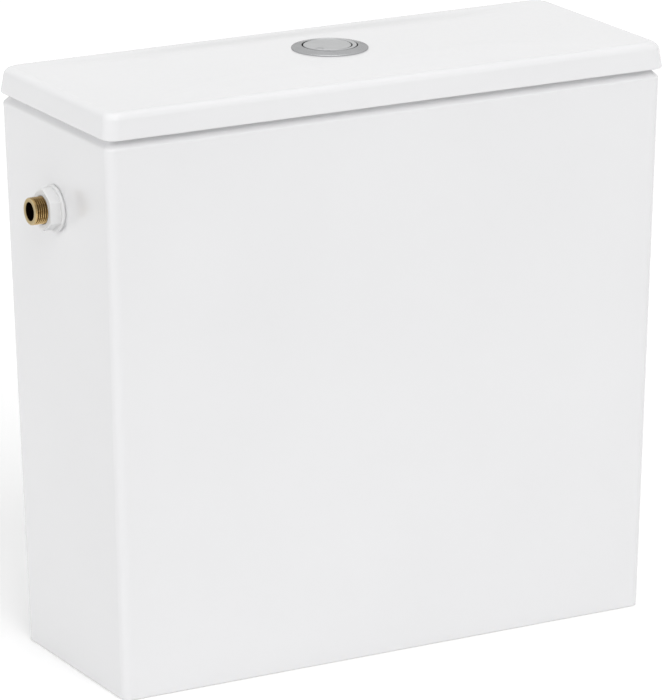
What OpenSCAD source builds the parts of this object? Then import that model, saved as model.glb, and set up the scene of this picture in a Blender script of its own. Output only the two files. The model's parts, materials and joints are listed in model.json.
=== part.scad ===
// Close-coupled toilet cistern with a lift-off lid, a two-part flush button and a side water inlet.
// Sizes are millimetres. The origin lies on the outlet axis in the plane of the base.
// X runs across the tank, the front faces -Y and the water inlet faces -X.

/* [Tank] */
// Width across the rim
tank_w = 381.6; // [350:0.1:430]
// Depth at the rim
tank_d = 144.1; // [138:0.1:190]
// Height of the rim above the base
tank_h = 347.6; // [320:0.1:420]
// How far each side leans in from rim to base
side_taper = 8.4; // [2:0.1:14]
// How far the front leans in from rim to base
front_taper = 2.4; // [0:0.1:6]
// How far the back leans in from rim to base
back_taper = 9; // [4:0.1:10]
// Radius of the upright edges
corner_r = 6; // [4:0.5:12]
// Radius of the rim's outer edge
rim_r = 8.5; // [4:0.5:9]
// Radius of the foot's outer edge
foot_r = 0.5; // [0.5:0.5:4]
// Thickness of the walls
wall = 11; // [10:0.5:12]
// Radius of the upright corners inside
cavity_r = 12; // [8:0.5:18]
// Thickness of the floor
floor_t = 11; // [9:0.5:14]
// Height of the hollow under the floor
recess_h = 34; // [30:0.5:42]
// How much narrower the hollow is at its top, on each side
recess_draft = 2; // [0:0.5:3]
// Size of the curve between floor and walls
floor_fillet = 6; // [3:0.5:8]
// From the outlet axis to the back of the rim
outlet_back = 67; // [65:0.5:74]
// Diameter of the outlet hole in the floor
outlet_hole_d = 64; // [62:0.5:66]
// Distance between the two coupling bolt holes
bolt_spacing = 160; // [130:1:190]
// Diameter of the coupling bolt holes
bolt_hole_d = 12; // [9:0.5:14]

/* [Lid] */
// Overhang past the rim on each side
lid_side = 1.7; // [0.5:0.1:4]
// Overhang past the rim at the front
lid_front = 2.7; // [0.5:0.1:5]
// Overhang past the rim at the back
lid_back = 1.1; // [0.2:0.1:3]
// Height of the lid's edge
lid_h = 16.2; // [14:0.1:20]
// Lean of the lid's sides, in degrees
lid_draft = 7; // [1:0.5:9]
// Radius of the lid's upright edges
lid_corner_r = 8; // [6:0.5:12]
// Radius of the lid's top edge
lid_edge_r = 4.5; // [3:0.5:7]
// Radius of the lid's lower edge
lid_lip_r = 0.8; // [0.4:0.1:2]
// How far the middle of the lid stands above its edge
lid_crown = 2.3; // [0.4:0.1:3]
// Diameter of the level spot in the middle of the lid
crown_d = 64; // [58:1:80]
// Thickness of the lid at its middle
lid_t = 9; // [8:0.5:12]
// How far the locating rib reaches down into the tank
rib_h = 6; // [3:0.5:10]
// Thickness of the locating rib
rib_t = 5; // [4:0.5:8]
// Gap between the locating rib and the tank wall
rib_gap = 2.5; // [1.5:0.5:4]

/* [Flush button] */
// Outer diameter of the bezel
bezel_d = 47.2; // [44:0.2:54]
// Height of the bezel above the lid, at its opening
bezel_t = 2.1; // [1.8:0.1:3]
// Height of the bezel's rim above the lid
bezel_rim = 0.8; // [0.7:0.1:1.2]
// Radius of the rim's upper edge
bezel_edge_r = 0.6; // [0.3:0.1:0.6]
// Diameter of the bezel's opening
opening_d = 34.3; // [33.5:0.1:36]
// Wall thickness of the threaded sleeve
sleeve_wall = 1.85; // [1.4:0.05:2.4]
// Length of the sleeve below the lid's top
sleeve_l = 37; // [35:0.5:42]
// Thickness of the guide plate at the sleeve's lower end
guide_t = 3; // [2:0.5:4]
// Thickness of the gasket under the lid
button_gasket_t = 2; // [1:0.5:3]
// Height of the nut under the lid
button_nut_h = 7; // [5:0.5:9]
// Diameter of the nut under the lid
button_nut_d = 52; // [48:1:58]
// Diameter of the full-flush button
full_button_d = 30; // [28:0.2:31]
// Gap round each button
button_gap = 0.35; // [0.3:0.05:0.5]
// How far the buttons stand above the bezel's opening
button_rise = 0.2; // [0:0.1:1]
// Wall thickness of the button caps
button_wall = 1.6; // [1.2:0.1:2.2]
// Height of the button caps
skirt_h = 8.5; // [7.5:0.5:10]
// Travel of each button
button_travel = 7; // [5:0.5:8]
// Diameter of the stem under each button
stem_d = 8.4; // [8:0.2:9]
// Diameter of the push rods
rod_d = 5; // [4:0.5:5.5]
// Distance of each push rod from the middle
rod_shift = 8; // [7.5:0.5:8.5]
// How far each rod is screwed into its stem
rod_grip = 4.5; // [3:0.5:5]
// Thickness of the half-flush button's foot
foot_t = 6; // [5.5:0.5:7]
// Width of the half-flush button's foot
foot_w = 8; // [6:0.5:10]
// Where the tips of the crescent end, left of the middle
crescent_end = 8; // [4:0.5:9]

/* [Return springs] */
// Mean diameter of the coils
coil_d = 7.2; // [6.8:0.1:7.4]
// Diameter of the wire
wire_d = 0.8; // [0.6:0.1:0.9]
// Number of coils
coil_turns = 5; // [4:1:6]

/* [Flush valve base] */
// Thickness of the gasket on the floor
base_gasket_t = 3; // [2:0.5:4]
// How far the flange reaches past the edge of the outlet hole
flange_overlap = 6; // [5:0.5:8]
// Thickness of the flange
flange_t = 5; // [4:0.5:7]
// Room between the threaded tail and the outlet hole
tail_room = 2.2; // [1.8:0.1:3]
// Wall thickness of the threaded tail
tail_wall = 4.3; // [3.5:0.1:6]
// Height of the tail's lower end above the base
tail_lift = 5; // [2:0.5:10]
// How much wider than the outlet the chamber under the seat is, on each side
chamber_step = 1.5; // [1:0.1:2]
// Depth of the chamber under the seat
chamber_h = 18; // [14:0.5:24]
// Wall thickness of the seat
seat_wall = 4; // [3.5:0.5:5]
// Height of the seat above the floor
seat_h = 17; // [14:0.5:24]
// Height of the back nut
back_nut_h = 10.5; // [8:0.5:13]
// Wall thickness of the back nut
back_nut_wall = 6; // [4:0.5:7]
// How far the lugs on both nuts stand out
nut_lug = 3.5; // [2:0.5:4]
// Width of the lugs on both nuts
lug_w = 6; // [4:0.5:8]
// Number of lugs on both nuts
lug_count = 8; // [6:1:10]
// Width of the coupling seal's ring
coupling_seal_w = 10.9; // [8:0.1:12]
// Size of the slope round the coupling seal
coupling_seal_bevel = 5; // [2:0.5:6]
// Height of the coupling seal's lower face above the base
coupling_seal_lift = 3; // [1:0.5:6]

/* [Flush tower] */
// Thickness of the tower's walls
tower_wall = 3.5; // [3:0.5:4]
// Height of the ring at the tower's foot
tower_ring_h = 7; // [5:0.5:8]
// Width of the posts
post_w = 30; // [20:1:34]
// Thickness of the deck
deck_t = 4; // [3:0.5:6]
// How far the deck lies below the lift disc
deck_drop = 18; // [16:0.5:20]
// Height of the tube guide on the deck
guide_h = 9; // [7:0.5:10]
// Height of the cheeks above the lever pins
cheek_rise = 10; // [9:0.5:12]
// Thickness of the tower cap
cap_t = 4; // [3:0.5:5]
// Height of the leg guides above the tower cap
leg_guide_h = 8; // [6:0.5:9]
// Length of the cap's side clips
clip_h = 10; // [6:0.5:14]

/* [Overflow tube and seal] */
// Outer diameter of the overflow tube
tube_d = 22; // [20:0.5:23]
// Wall thickness of the overflow tube
tube_wall = 1.6; // [1.2:0.1:2.4]
// How far the tube reaches below the seal
tube_tail = 7; // [6:0.5:9]
// Diameter of the lift disc
lift_disc_d = 34; // [33:0.5:36]
// Thickness of the lift disc
lift_disc_t = 2.7; // [2:0.1:3.5]
// How far the valve seal reaches past the seat
seal_overlap = 0.5; // [0.2:0.1:0.8]
// Thickness of the valve seal
seal_t = 3; // [2:0.5:4]
// Diameter of the flange above the seal
seal_flange_d = 52; // [40:1:58]
// Thickness of the flange above the seal
seal_flange_t = 4; // [3:0.5:6]
// Diameter of the retainer below the seal
retainer_d = 44; // [36:1:48]
// Height of the retainer below the seal
retainer_h = 5; // [4:0.5:6]
// Diameter of the valve float
valve_float_d = 48; // [40:1:56]
// Height of the valve float
valve_float_h = 45; // [30:1:60]
// Height of the valve float above the floor
valve_float_rise = 75; // [60:1:90]
// Size of the slopes on both floats
float_bevel = 3; // [1:0.5:5]

/* [Flush levers] */
// Reach of each lever from pin to push bar
push_arm = 12; // [11:0.5:14]
// Distance of the lift tips from the tube's axis
tip_x = 3; // [2.8:0.1:4]
// Diameter of the push bar and the lift tips
tip_d = 4; // [3.6:0.1:4.4]
// Thickness of the lever arms
arm_t = 3; // [2:0.5:4]
// Height of the lever arms
arm_h = 3.4; // [2.6:0.1:3.6]
// Diameter of the boss round each pin
boss_d = 7; // [6:0.5:8]
// Diameter of the lever pins
lever_pin_d = 3; // [2:0.5:3.5]
// From the push plates down to the lever pins
lever_drop = 38; // [36:0.5:44]
// From the rim down to the push plates
plate_drop = 43.6; // [41:0.1:52]
// Thickness of the push plates
plate_t = 4; // [3:0.5:5]
// Width of the push plates
plate_w = 12; // [10:0.5:16]
// Width of the square leg under each push plate
leg_w = 7; // [5:0.5:8]
// Thickness of the lift collar's half disc
collar_t = 3; // [2:0.5:4]
// Wall thickness of the lift collar
collar_wall = 2.4; // [1.6:0.1:2.6]
// Length of the lift collar below its half disc
collar_l = 24; // [22:0.5:30]

/* [Water inlet] */
// From the rim down to the inlet axis
inlet_drop = 56.5; // [52:0.5:70]
// How far the inlet lies in front of the outlet axis
inlet_front = 4.4; // [0:0.1:20]
// Diameter of the inlet hole in the wall
inlet_hole_d = 19; // [17.5:0.5:22]
// Outer diameter of the thread
thread_d = 16.66; // [16:0.02:17]
// Pitch of the thread
thread_pitch = 1.337; // [1:0.001:1.6]
// Depth of the thread
thread_depth = 0.8; // [0.5:0.05:0.9]
// Width of the thread's crests
thread_crest = 0.25; // [0.15:0.05:0.4]
// Smooth lead at the thread's end
thread_lead = 1.6; // [1.2:0.1:2]
// Bevel at the thread's end
thread_bevel = 0.5; // [0.3:0.1:0.8]
// Diameter of the bore through the tail
inlet_bore_d = 11.3; // [10:0.1:12]
// Diameter of the tail behind the thread
tail_neck_d = 15.6; // [14.4:0.1:15.8]
// How far the thread ends outside the wall
thread_reach = 17.2; // [15:0.1:22]
// How far the collar ends outside the wall
collar_reach = 9.1; // [7:0.1:10]
// Size of the collar's hexagon across its flats
collar_flats = 23.2; // [22:0.2:24]
// Diameter of the collar's flange
collar_flange_d = 29; // [28:0.5:33]
// Thickness of the collar's flange
collar_flange_t = 2.5; // [2:0.1:4]
// Size of the rounded edges on the collar
collar_edge_r = 0.8; // [0.4:0.1:1]
// How far the filter lies inside the tail's end
filter_inset = 9; // [4:0.5:12]
// Length of the filter inside the tail
filter_l = 18; // [12:0.5:20]
// Wall thickness of the filter
filter_wall = 0.9; // [0.6:0.1:1.2]

/* [Fill valve] */
// Thickness of the gasket inside the wall
inlet_gasket_t = 3; // [2:0.5:4]
// Diameter of the shank's flange and of its gasket
shank_flange_d = 28; // [26:0.5:28]
// Thickness of the shank's flange
shank_flange_t = 3; // [2.5:0.5:4]
// Diameter of the shank
shank_d = 21; // [20:0.5:22]
// How far the tail reaches in past the wall
tail_grip = 14; // [12:0.5:16]
// From the wall to the valve head
head_offset = 19; // [19:0.5:24]
// Diameter of the valve head
head_d = 26; // [25:0.5:27]
// Height of the valve head above the inlet axis
head_rise = 18; // [17:0.5:22]
// Depth of the valve head below the inlet axis
head_depth = 12; // [11:0.5:16]
// From the valve head to the outlet pipe
outlet_offset = 24; // [22:0.5:26]
// Diameter of the outlet pipe
outlet_pipe_d = 22; // [21:0.5:24]
// Length of the outlet pipe below the inlet axis
outlet_pipe_l = 29; // [24:0.5:34]
// Thickness of the diaphragm
diaphragm_t = 1.5; // [1:0.5:2]
// Wall thickness of the valve cap
valve_cap_wall = 2; // [1.5:0.1:2]
// Height of the valve cap above the diaphragm
valve_cap_h = 8; // [6:0.5:10]
// How far the valve cap reaches down over the head
valve_cap_skirt = 2.5; // [1.5:0.5:2.5]
// Diameter of the pilot nozzle
nozzle_d = 5; // [3:0.5:6]
// Height of the pilot nozzle
nozzle_h = 3; // [2:0.5:4]
// Outer diameter of the silencer tube
silencer_d = 17; // [15:0.5:18]
// Wall thickness of the silencer tube
silencer_wall = 1.5; // [1:0.1:2]
// How far the silencer tube is pushed into the outlet pipe
silencer_grip = 10; // [6:0.5:14]
// Height of the silencer tube's lower end above the floor
silencer_lift = 15; // [10:0.5:40]

/* [Float] */
// Diameter of the float
float_d = 48; // [46:1:52]
// Height of the float
float_h = 60; // [45:1:80]
// Wall thickness of the float
float_wall = 2; // [1.5:0.1:3]
// How far the float rises as the tank fills
float_travel = 8; // [6:0.5:10]
// Gap between the risen float and the outlet pipe
float_room = 4; // [2:0.5:6]
// Diameter of the float rod
float_rod_d = 4; // [3:0.5:4.5]
// From the silencer tube's axis to the float rod
rod_offset = 19; // [18:0.5:19.5]
// Diameter of the socket that holds the float rod
socket_d = 8.4; // [7:0.2:9]
// Height of the socket that holds the float rod
socket_h = 8; // [5:0.5:10]
// From the pilot nozzle to the lever's pin
pilot_arm = 9; // [8:0.5:9]
// Width of the float lever
float_lever_w = 8; // [7:0.5:8]
// Thickness of the float lever
float_lever_t = 4; // [3:0.5:5]
// Thickness of the fork's prongs
prong_t = 2.6; // [2:0.1:2.8]
// Width of the fork's prongs
prong_w = 2.2; // [2:0.1:2.6]
// Length of the fork's prongs
prong_l = 8; // [7:0.5:9]
// Diameter of the fork's tips
fork_tip_d = 3.6; // [3.4:0.1:4]
// Diameter of the float lever's pin
float_pin_d = 3; // [2:0.5:3]
// Thickness of the lugs that hold the float lever's pin
ear_t = 2.6; // [2:0.1:3]
// Width of the lugs that hold the float lever's pin
ear_w = 7; // [6:0.5:7.5]
// Diameter of the stop on the float rod and of the level adjuster
stop_d = 11; // [9:0.5:12]
// Thickness of the stop on the float rod
stop_t = 1.5; // [1:0.5:2]
// Height of the level adjuster
adjuster_h = 6; // [4:0.5:8]

/* [Fits] */
// Gap between the lid and the rim
seat_gap = 0.3; // [0.2:0.05:0.5]
// Gap between pieces that slide or press on each other
slide_gap = 0.3; // [0.2:0.05:0.4]
// Gap between a pin and its bore, on the radius
pin_gap = 0.08; // [0.05:0.01:0.1]
// Gap between a thread and its nut, on the radius
thread_gap = 0.2; // [0.1:0.05:0.3]
// Gap round pieces that are held fast
snug_gap = 0.1; // [0.05:0.05:0.15]
// Room between pieces that pass each other
pass_gap = 0.8; // [0.6:0.1:1]

/* [Hidden] */

$fn = 64;
// Facets of the round corners inside a hull
edge_fn = 32;
// Thickness of the discs that a hull is stretched over
sliver = 0.01;
// How far a cutting shape runs past the face that it cuts
cut = 1;
// How far joined shapes run into each other
bite = 0.5;
// The left side carries the full flush, the right side the half flush
full_side = -1;
half_side = 1;

// Tank
floor_z = recess_h + floor_t;
bolt_x = bolt_spacing / 2;

// Lid
lid_z = tank_h + seat_gap;
lid_edge_z = lid_z + lid_h;
lid_top = lid_edge_z + lid_crown;
ceiling_z = lid_top - lid_t;
lid_lean = tan(lid_draft);
rib_inset = wall + rib_gap;

// Button
bezel_r = bezel_d / 2;
bezel_top = lid_top + bezel_t;
sleeve_in = opening_d / 2;
sleeve_out = sleeve_in + sleeve_wall;
button_hole_r = sleeve_out + thread_gap * 2;
guide_z = lid_top - sleeve_l;
guide_top = guide_z + guide_t;
button_nut_z = ceiling_z - button_gasket_t - button_nut_h;
button_top = bezel_top + button_rise;
skirt_z = button_top - skirt_h;
full_button_r = full_button_d / 2;
full_button_x = -(sleeve_in - button_gap - full_button_r);
foot_top = skirt_z - button_travel - pass_gap;
stem_z = foot_top - foot_t;
rod_r = rod_d / 2;

// Return springs. Each coil is a run of rings, and each ring has a few points round the wire.
rings_per_coil = 8;
wire_sides = 6;
wire_r = wire_d / 2;
coil_low = guide_top + wire_r + snug_gap;
coil_high = stem_z - wire_r - slide_gap;
coil_rings = coil_turns * rings_per_coil;
coil_pitch = (coil_high - coil_low) / coil_turns;
echo(spring_gap = coil_pitch - wire_d);

// Levers and push plates. Each lever rocks by the same angle above and below the level.
lift_disc_r = lift_disc_d / 2;
tip_r = tip_d / 2;
plate_z = tank_h - plate_drop;
pivot_z = plate_z - lever_drop;
pivot_x = lift_disc_r + lever_pin_d / 2 + 2 * pass_gap;
lift_arm = pivot_x - tip_x;
lever_angle = asin(button_travel / 2 / push_arm);
valve_lift = button_travel * lift_arm / push_arm;
leg_x = pivot_x + push_arm * (1 + cos(lever_angle)) / 2;
leg_z = pivot_z + push_arm * sin(lever_angle) + tip_r + slide_gap;
plate_in = rod_shift - rod_d;
plate_out = leg_x + leg_w / 2 + pass_gap;
arm_y = lift_disc_r + pass_gap;
cheek_y = arm_y + arm_t + pass_gap;

// Flush valve
base_gasket_z = floor_z;
flange_z = floor_z + base_gasket_t;
flange_top = flange_z + flange_t;
outlet_hole_r = outlet_hole_d / 2;
flange_r = outlet_hole_r + flange_overlap;
tail_r = outlet_hole_r - tail_room;
outlet_r = tail_r - tail_wall;
chamber_r = outlet_r + chamber_step;
seat_r = chamber_r + seat_wall;
seat_z = floor_z + seat_h;
chamber_z = seat_z - chamber_h;
back_nut_in = tail_r + thread_gap;
back_nut_r = back_nut_in + back_nut_wall;
back_nut_z = recess_h - back_nut_h;
seal_r = seat_r + seal_overlap;
seal_z = seat_z + slide_gap;
tube_r = tube_d / 2;
tube_z = seal_z - tube_tail;

// Flush tower
lift_z = pivot_z - lift_arm * sin(lever_angle) + tip_r + slide_gap;
disc_z = lift_z + collar_t + slide_gap;
tube_top = disc_z + lift_disc_t;
collar_in = tube_r + slide_gap;
collar_out = collar_in + collar_wall;
collar_z = lift_z - collar_l;
guide_in = collar_out + slide_gap;
deck_z = lift_z - deck_drop;
deck_top = deck_z + deck_t;
deck_half = plate_out + pass_gap;
tower_in = seat_r + 2 * pass_gap;
post_y = seal_r + 2 * pass_gap;
cap_z = pivot_z + cheek_rise;
cap_y = cheek_y + tower_wall + snug_gap;
leg_guide = leg_w + 2 * slide_gap;

// Water inlet. Distances along the inlet run from the middle of the tank out to the left.
inlet_y = -inlet_front;
inlet_z = tank_h - inlet_drop;
wall_lean = side_taper / tank_h;
wall_out = half_w(inlet_z);
wall_in = wall_out - wall;
spot_r = collar_flange_d / 2 + snug_gap;
spot_out = wall_out - spot_r * wall_lean;
spot_in = wall_in + spot_r * wall_lean;
thread_end = wall_out + thread_reach;
collar_end = wall_out + collar_reach;
thread_r = thread_d / 2;
thread_root = thread_r - thread_depth;
thread_start = thread_end - thread_lead;
thread_turns = floor((thread_start - collar_end) / thread_pitch);
tail_in = spot_in - tail_grip;
neck_r = tail_neck_d / 2;
inlet_bore_r = inlet_bore_d / 2;

// Fill valve
shank_face = spot_in - inlet_gasket_t;
head_x = -(spot_in - head_offset);
head_r = head_d / 2;
head_top = inlet_z + head_rise;
valve_cap_r = head_r + valve_cap_wall;
valve_cap_z = head_top + diaphragm_t;
valve_cap_top = valve_cap_z + valve_cap_h;
nozzle_top = valve_cap_top + nozzle_h;
outlet_x = head_x + outlet_offset;
outlet_pipe_z = inlet_z - outlet_pipe_l;
silencer_r = silencer_d / 2;

// Float. Its lever rocks by the same angle below and above the level.
float_r = float_d / 2;
float_in = silencer_r + 2 * slide_gap;
float_top = outlet_pipe_z - float_room - float_travel;
float_z = float_top - float_h;
float_rod_x = outlet_x + rod_offset;
float_rod_r = float_rod_d / 2;
float_pin_x = head_x + pilot_arm;
float_arm = float_rod_x - float_pin_x;
float_angle = asin(float_travel / 2 / float_arm);
float_pin_z = nozzle_top + slide_gap + float_lever_t / 2 + pilot_arm * sin(float_angle);
fork_z = float_pin_z - float_travel / 2;
fork_tip_r = fork_tip_d / 2;
fork_y = float_rod_r + pass_gap;
ear_y = float_lever_w / 2 + pass_gap;
stop_top = fork_z - fork_tip_r - slide_gap;
adjuster_z = fork_z + fork_tip_r + slide_gap;

// Half the tank's width at a height
function half_w(z) = tank_w / 2 - side_taper * (1 - z / tank_h);

// The tank's front and back faces at a height
function front_y(z) = outlet_back - tank_d + front_taper * (1 - z / tank_h);
function back_y(z) = outlet_back - back_taper * (1 - z / tank_h);

// Plan radius of a corner that is drawn in by an inset
function corner_at(r, inset) = max(r - inset / 2, 1);

// A point on a spring wire's skin: i counts the rings and j the points round a ring
function coil_point(i, j) =
    let (turn = i * 360 / rings_per_coil, round = j * 360 / wire_sides)
    let (r = coil_d / 2 + wire_r * cos(round))
    [r * cos(turn), r * sin(turn), coil_low + i * coil_pitch / rings_per_coil + wire_r * sin(round)];

// Four thin corner discs of the tank's outline at a height, to stretch a hull over
module tank_outline(z, inset, r) {
    for (side = [-1, 1]) {
        for (y = [front_y(z) + inset + r, back_y(z) - inset - r]) {
            translate([side * (half_w(z) - inset - r), y, z])
                cylinder(h = sliver, r = r, $fn = edge_fn);
        }
    }
}

// Four thin corner discs of the lid's outline at a height
module lid_outline(z, inset, r) {
    x = tank_w / 2 + lid_side - inset - r;
    front = outlet_back - tank_d - lid_front + inset + r;
    back = outlet_back + lid_back - inset - r;
    for (side = [-1, 1]) {
        for (y = [front, back]) {
            translate([side * x, y, z]) cylinder(h = sliver, r = r, $fn = edge_fn);
        }
    }
}

// A ring between two heights
module ring(r_out, r_in, z_low, z_high) {
    difference() {
        translate([0, 0, z_low]) cylinder(h = z_high - z_low, r = r_out);
        translate([0, 0, z_low - cut]) cylinder(h = z_high - z_low + 2 * cut, r = r_in);
    }
}

// A round bar along Y
module bar_y(r, y_low, y_high) {
    translate([0, y_low, 0]) rotate([-90, 0, 0]) cylinder(h = y_high - y_low, r = r);
}

// Places a piece that is drawn upright on the inlet axis, running out to the left
module along_inlet() {
    translate([0, inlet_y, inlet_z]) rotate([0, -90, 0]) children();
}

// A disc across the inlet axis, between two distances from the middle of the tank
module inlet_disc(r, near, far) {
    along_inlet() translate([0, 0, near]) cylinder(h = far - near, r = r);
}

// Lugs round a nut
module lugs(r, z_low, z_high) {
    for (i = [0 : lug_count - 1]) {
        rotate([0, 0, i * 360 / lug_count])
            translate([r - bite, -lug_w / 2, z_low]) cube([nut_lug + bite, lug_w, z_high - z_low]);
    }
}

// Outside of the ceramic tank
module tank_body() {
    hull() {
        for (a = [0 : 45 : 90]) {
            tank_outline(foot_r * (1 - sin(a)), foot_r * (1 - cos(a)), corner_r);
        }
        for (a = [0 : 22.5 : 90]) {
            inset = rim_r * (1 - cos(a));
            tank_outline(tank_h - rim_r * (1 - sin(a)) - sliver, inset, corner_at(corner_r, inset));
        }
    }
}

// Water space inside the tank
module tank_cavity() {
    hull() {
        for (a = [0 : 30 : 90]) {
            inset = wall + floor_fillet * (1 - cos(a));
            tank_outline(floor_z + floor_fillet * (1 - sin(a)), inset, cavity_r);
        }
        tank_outline(tank_h + cut, wall, cavity_r);
    }
}

// Hollow under the floor
module tank_recess() {
    hull() {
        tank_outline(-cut, wall, cavity_r);
        tank_outline(recess_h - sliver, wall + recess_draft, cavity_r);
    }
}

module tank() {
    color("white") difference() {
        tank_body();
        tank_cavity();
        tank_recess();
        translate([0, 0, recess_h - cut]) cylinder(h = floor_t + 2 * cut, r = outlet_hole_r);
        for (side = [-1, 1]) {
            translate([side * bolt_x, 0, recess_h - cut])
                cylinder(h = floor_t + 2 * cut, r = bolt_hole_d / 2);
        }
        inlet_disc(inlet_hole_d / 2, wall_in - cut, wall_out + cut);
        inlet_disc(spot_r, spot_out, wall_out + 2 * cut);
        inlet_disc(spot_r, wall_in - 2 * cut, spot_in);
    }
}

// Outside of the ceramic lid, with its drafted sides and rounded top edge
module lid_shell() {
    hull() {
        lid_outline(lid_z, lid_lip_r, lid_corner_r);
        lid_outline(lid_z + lid_lip_r, 0, lid_corner_r);
        for (a = [0 : 18 : 90]) {
            rise = lid_h - lid_edge_r * (1 - sin(a)) - sliver;
            inset = rise * lid_lean + lid_edge_r * (1 - cos(a));
            lid_outline(lid_z + rise, inset, lid_corner_r);
        }
        translate([0, 0, lid_top - sliver]) cylinder(h = sliver, r = crown_d / 2, $fn = edge_fn);
    }
}

// Rib that keeps the lid in place on the tank
module lid_rib() {
    hull() {
        tank_outline(lid_z - rib_h, rib_inset, cavity_r);
        tank_outline(lid_z + cut, rib_inset, cavity_r);
    }
}

// Hollow underside of the lid
module lid_hollow() {
    hull() {
        tank_outline(lid_z - rib_h - cut, rib_inset + rib_t, cavity_r);
        tank_outline(ceiling_z - sliver, rib_inset + rib_t, cavity_r);
    }
}

module lid() {
    color("white") difference() {
        union() {
            lid_shell();
            lid_rib();
        }
        lid_hollow();
        translate([0, 0, ceiling_z - cut]) cylinder(h = lid_t + 2 * cut, r = button_hole_r);
    }
}

// Bezel that slopes up from a thin rim to its opening, with the sleeve below it
module button_bezel() {
    rim_z = lid_top + bezel_rim;
    edge = [
        for (a = [0 : 25 : 75])
            [bezel_r - bezel_edge_r * (1 - cos(a)), rim_z - bezel_edge_r * (1 - sin(a))]
    ];
    profile = concat(
        [[sleeve_in, guide_z], [sleeve_out, guide_z], [sleeve_out, lid_top], [bezel_r, lid_top]],
        edge,
        [[sleeve_in + button_gap, bezel_top], [sleeve_in, bezel_top - button_gap]]
    );
    color("silver") difference() {
        union() {
            rotate_extrude() polygon(profile);
            translate([0, 0, guide_z]) cylinder(h = guide_t, r = sleeve_in + bite);
        }
        for (side = [full_side, half_side]) {
            translate([side * rod_shift, 0, guide_z - cut])
                cylinder(h = guide_t + 2 * cut, r = rod_r + slide_gap);
        }
    }
}

module button_gasket() {
    color("dimgray")
        ring(button_nut_d / 2 - pass_gap, button_hole_r, ceiling_z - button_gasket_t, ceiling_z);
}

module button_nut() {
    top = button_nut_z + button_nut_h;
    color("whitesmoke") difference() {
        union() {
            translate([0, 0, button_nut_z]) cylinder(h = button_nut_h, r = button_nut_d / 2);
            lugs(button_nut_d / 2, button_nut_z, top - bite);
        }
        translate([0, 0, button_nut_z - cut])
            cylinder(h = button_nut_h + 2 * cut, r = sleeve_out + thread_gap);
    }
}

// Blind hole for a push rod in the stem above it
module rod_socket(side) {
    translate([side * rod_shift, 0, stem_z - cut]) cylinder(h = rod_grip + cut, r = rod_r + snug_gap);
}

module full_flush_button() {
    color("silver") difference() {
        union() {
            translate([full_button_x, 0, 0])
                ring(full_button_r, full_button_r - button_wall, skirt_z, button_top - bite);
            translate([full_button_x, 0, button_top - button_wall])
                cylinder(h = button_wall, r = full_button_r);
            translate([full_side * rod_shift, 0, stem_z])
                cylinder(h = button_top - bite - stem_z, r = stem_d / 2);
        }
        rod_socket(full_side);
    }
}

// Plan of the crescent beside the full-flush button
module crescent() {
    difference() {
        circle(r = sleeve_in - button_gap);
        translate([full_button_x, 0]) circle(r = full_button_r + button_gap);
        translate([-2 * sleeve_in - crescent_end, -sleeve_in]) square(2 * sleeve_in);
    }
}

module half_flush_button() {
    color("silver") difference() {
        union() {
            translate([0, 0, skirt_z]) linear_extrude(skirt_h) crescent();
            translate([0, 0, stem_z]) linear_extrude(skirt_z + bite - stem_z) intersection() {
                crescent();
                translate([0, -foot_w / 2]) square([sleeve_in, foot_w]);
            }
            translate([rod_shift, 0, stem_z]) cylinder(h = foot_t, r = stem_d / 2);
            translate([rod_shift, -foot_w / 2, stem_z])
                cube([sleeve_in - 2 * pass_gap - rod_shift, foot_w, foot_t]);
        }
        rod_socket(half_side);
    }
}

// Rod from a button's stem down to its push plate
module push_rod(side) {
    bottom = plate_z + plate_t + slide_gap;
    translate([side * rod_shift, 0, bottom])
        cylinder(h = stem_z + rod_grip - snug_gap - bottom, r = rod_r);
}

module full_flush_rod() {
    color("gainsboro") push_rod(full_side);
}

module half_flush_rod() {
    color("cornflowerblue") push_rod(half_side);
}

// Return spring: one unbroken wire, skinned over its rings of points
module return_spring(side) {
    points = [for (i = [0 : coil_rings], j = [0 : wire_sides - 1]) coil_point(i, j)];
    last = coil_rings * wire_sides;
    low_end = [for (j = [1 : wire_sides - 2]) [0, j, j + 1]];
    high_end = [for (j = [1 : wire_sides - 2]) [last, last + j + 1, last + j]];
    skin = [
        for (i = [0 : coil_rings - 1], j = [0 : wire_sides - 1])
            let (a = i * wire_sides + j, b = i * wire_sides + (j + 1) % wire_sides)
            each [[a, a + wire_sides, b], [b, a + wire_sides, b + wire_sides]]
    ];
    translate([side * rod_shift, 0, 0])
        polyhedron(points = points, faces = concat(low_end, skin, high_end), convexity = 10);
}

module full_flush_spring() {
    color("lightsteelblue") return_spring(full_side);
}

module half_flush_spring() {
    color("lightsteelblue") return_spring(half_side);
}

module valve_base() {
    color("whitesmoke") rotate_extrude() polygon([
        [outlet_r, tail_lift],
        [tail_r, tail_lift],
        [tail_r, flange_z],
        [flange_r, flange_z],
        [flange_r, flange_top],
        [seat_r, flange_top],
        [seat_r, seat_z],
        [chamber_r, seat_z],
        [chamber_r, chamber_z],
        [outlet_r, chamber_z - (chamber_r - outlet_r)]
    ]);
}

module valve_base_gasket() {
    color("dimgray") ring(flange_r, tail_r + pass_gap, base_gasket_z, flange_z);
}

module back_nut() {
    color("gainsboro") difference() {
        union() {
            translate([0, 0, back_nut_z]) cylinder(h = back_nut_h, r = back_nut_r);
            lugs(back_nut_r, back_nut_z, recess_h - bite);
        }
        translate([0, 0, back_nut_z - cut]) cylinder(h = back_nut_h + 2 * cut, r = back_nut_in);
    }
}

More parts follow.
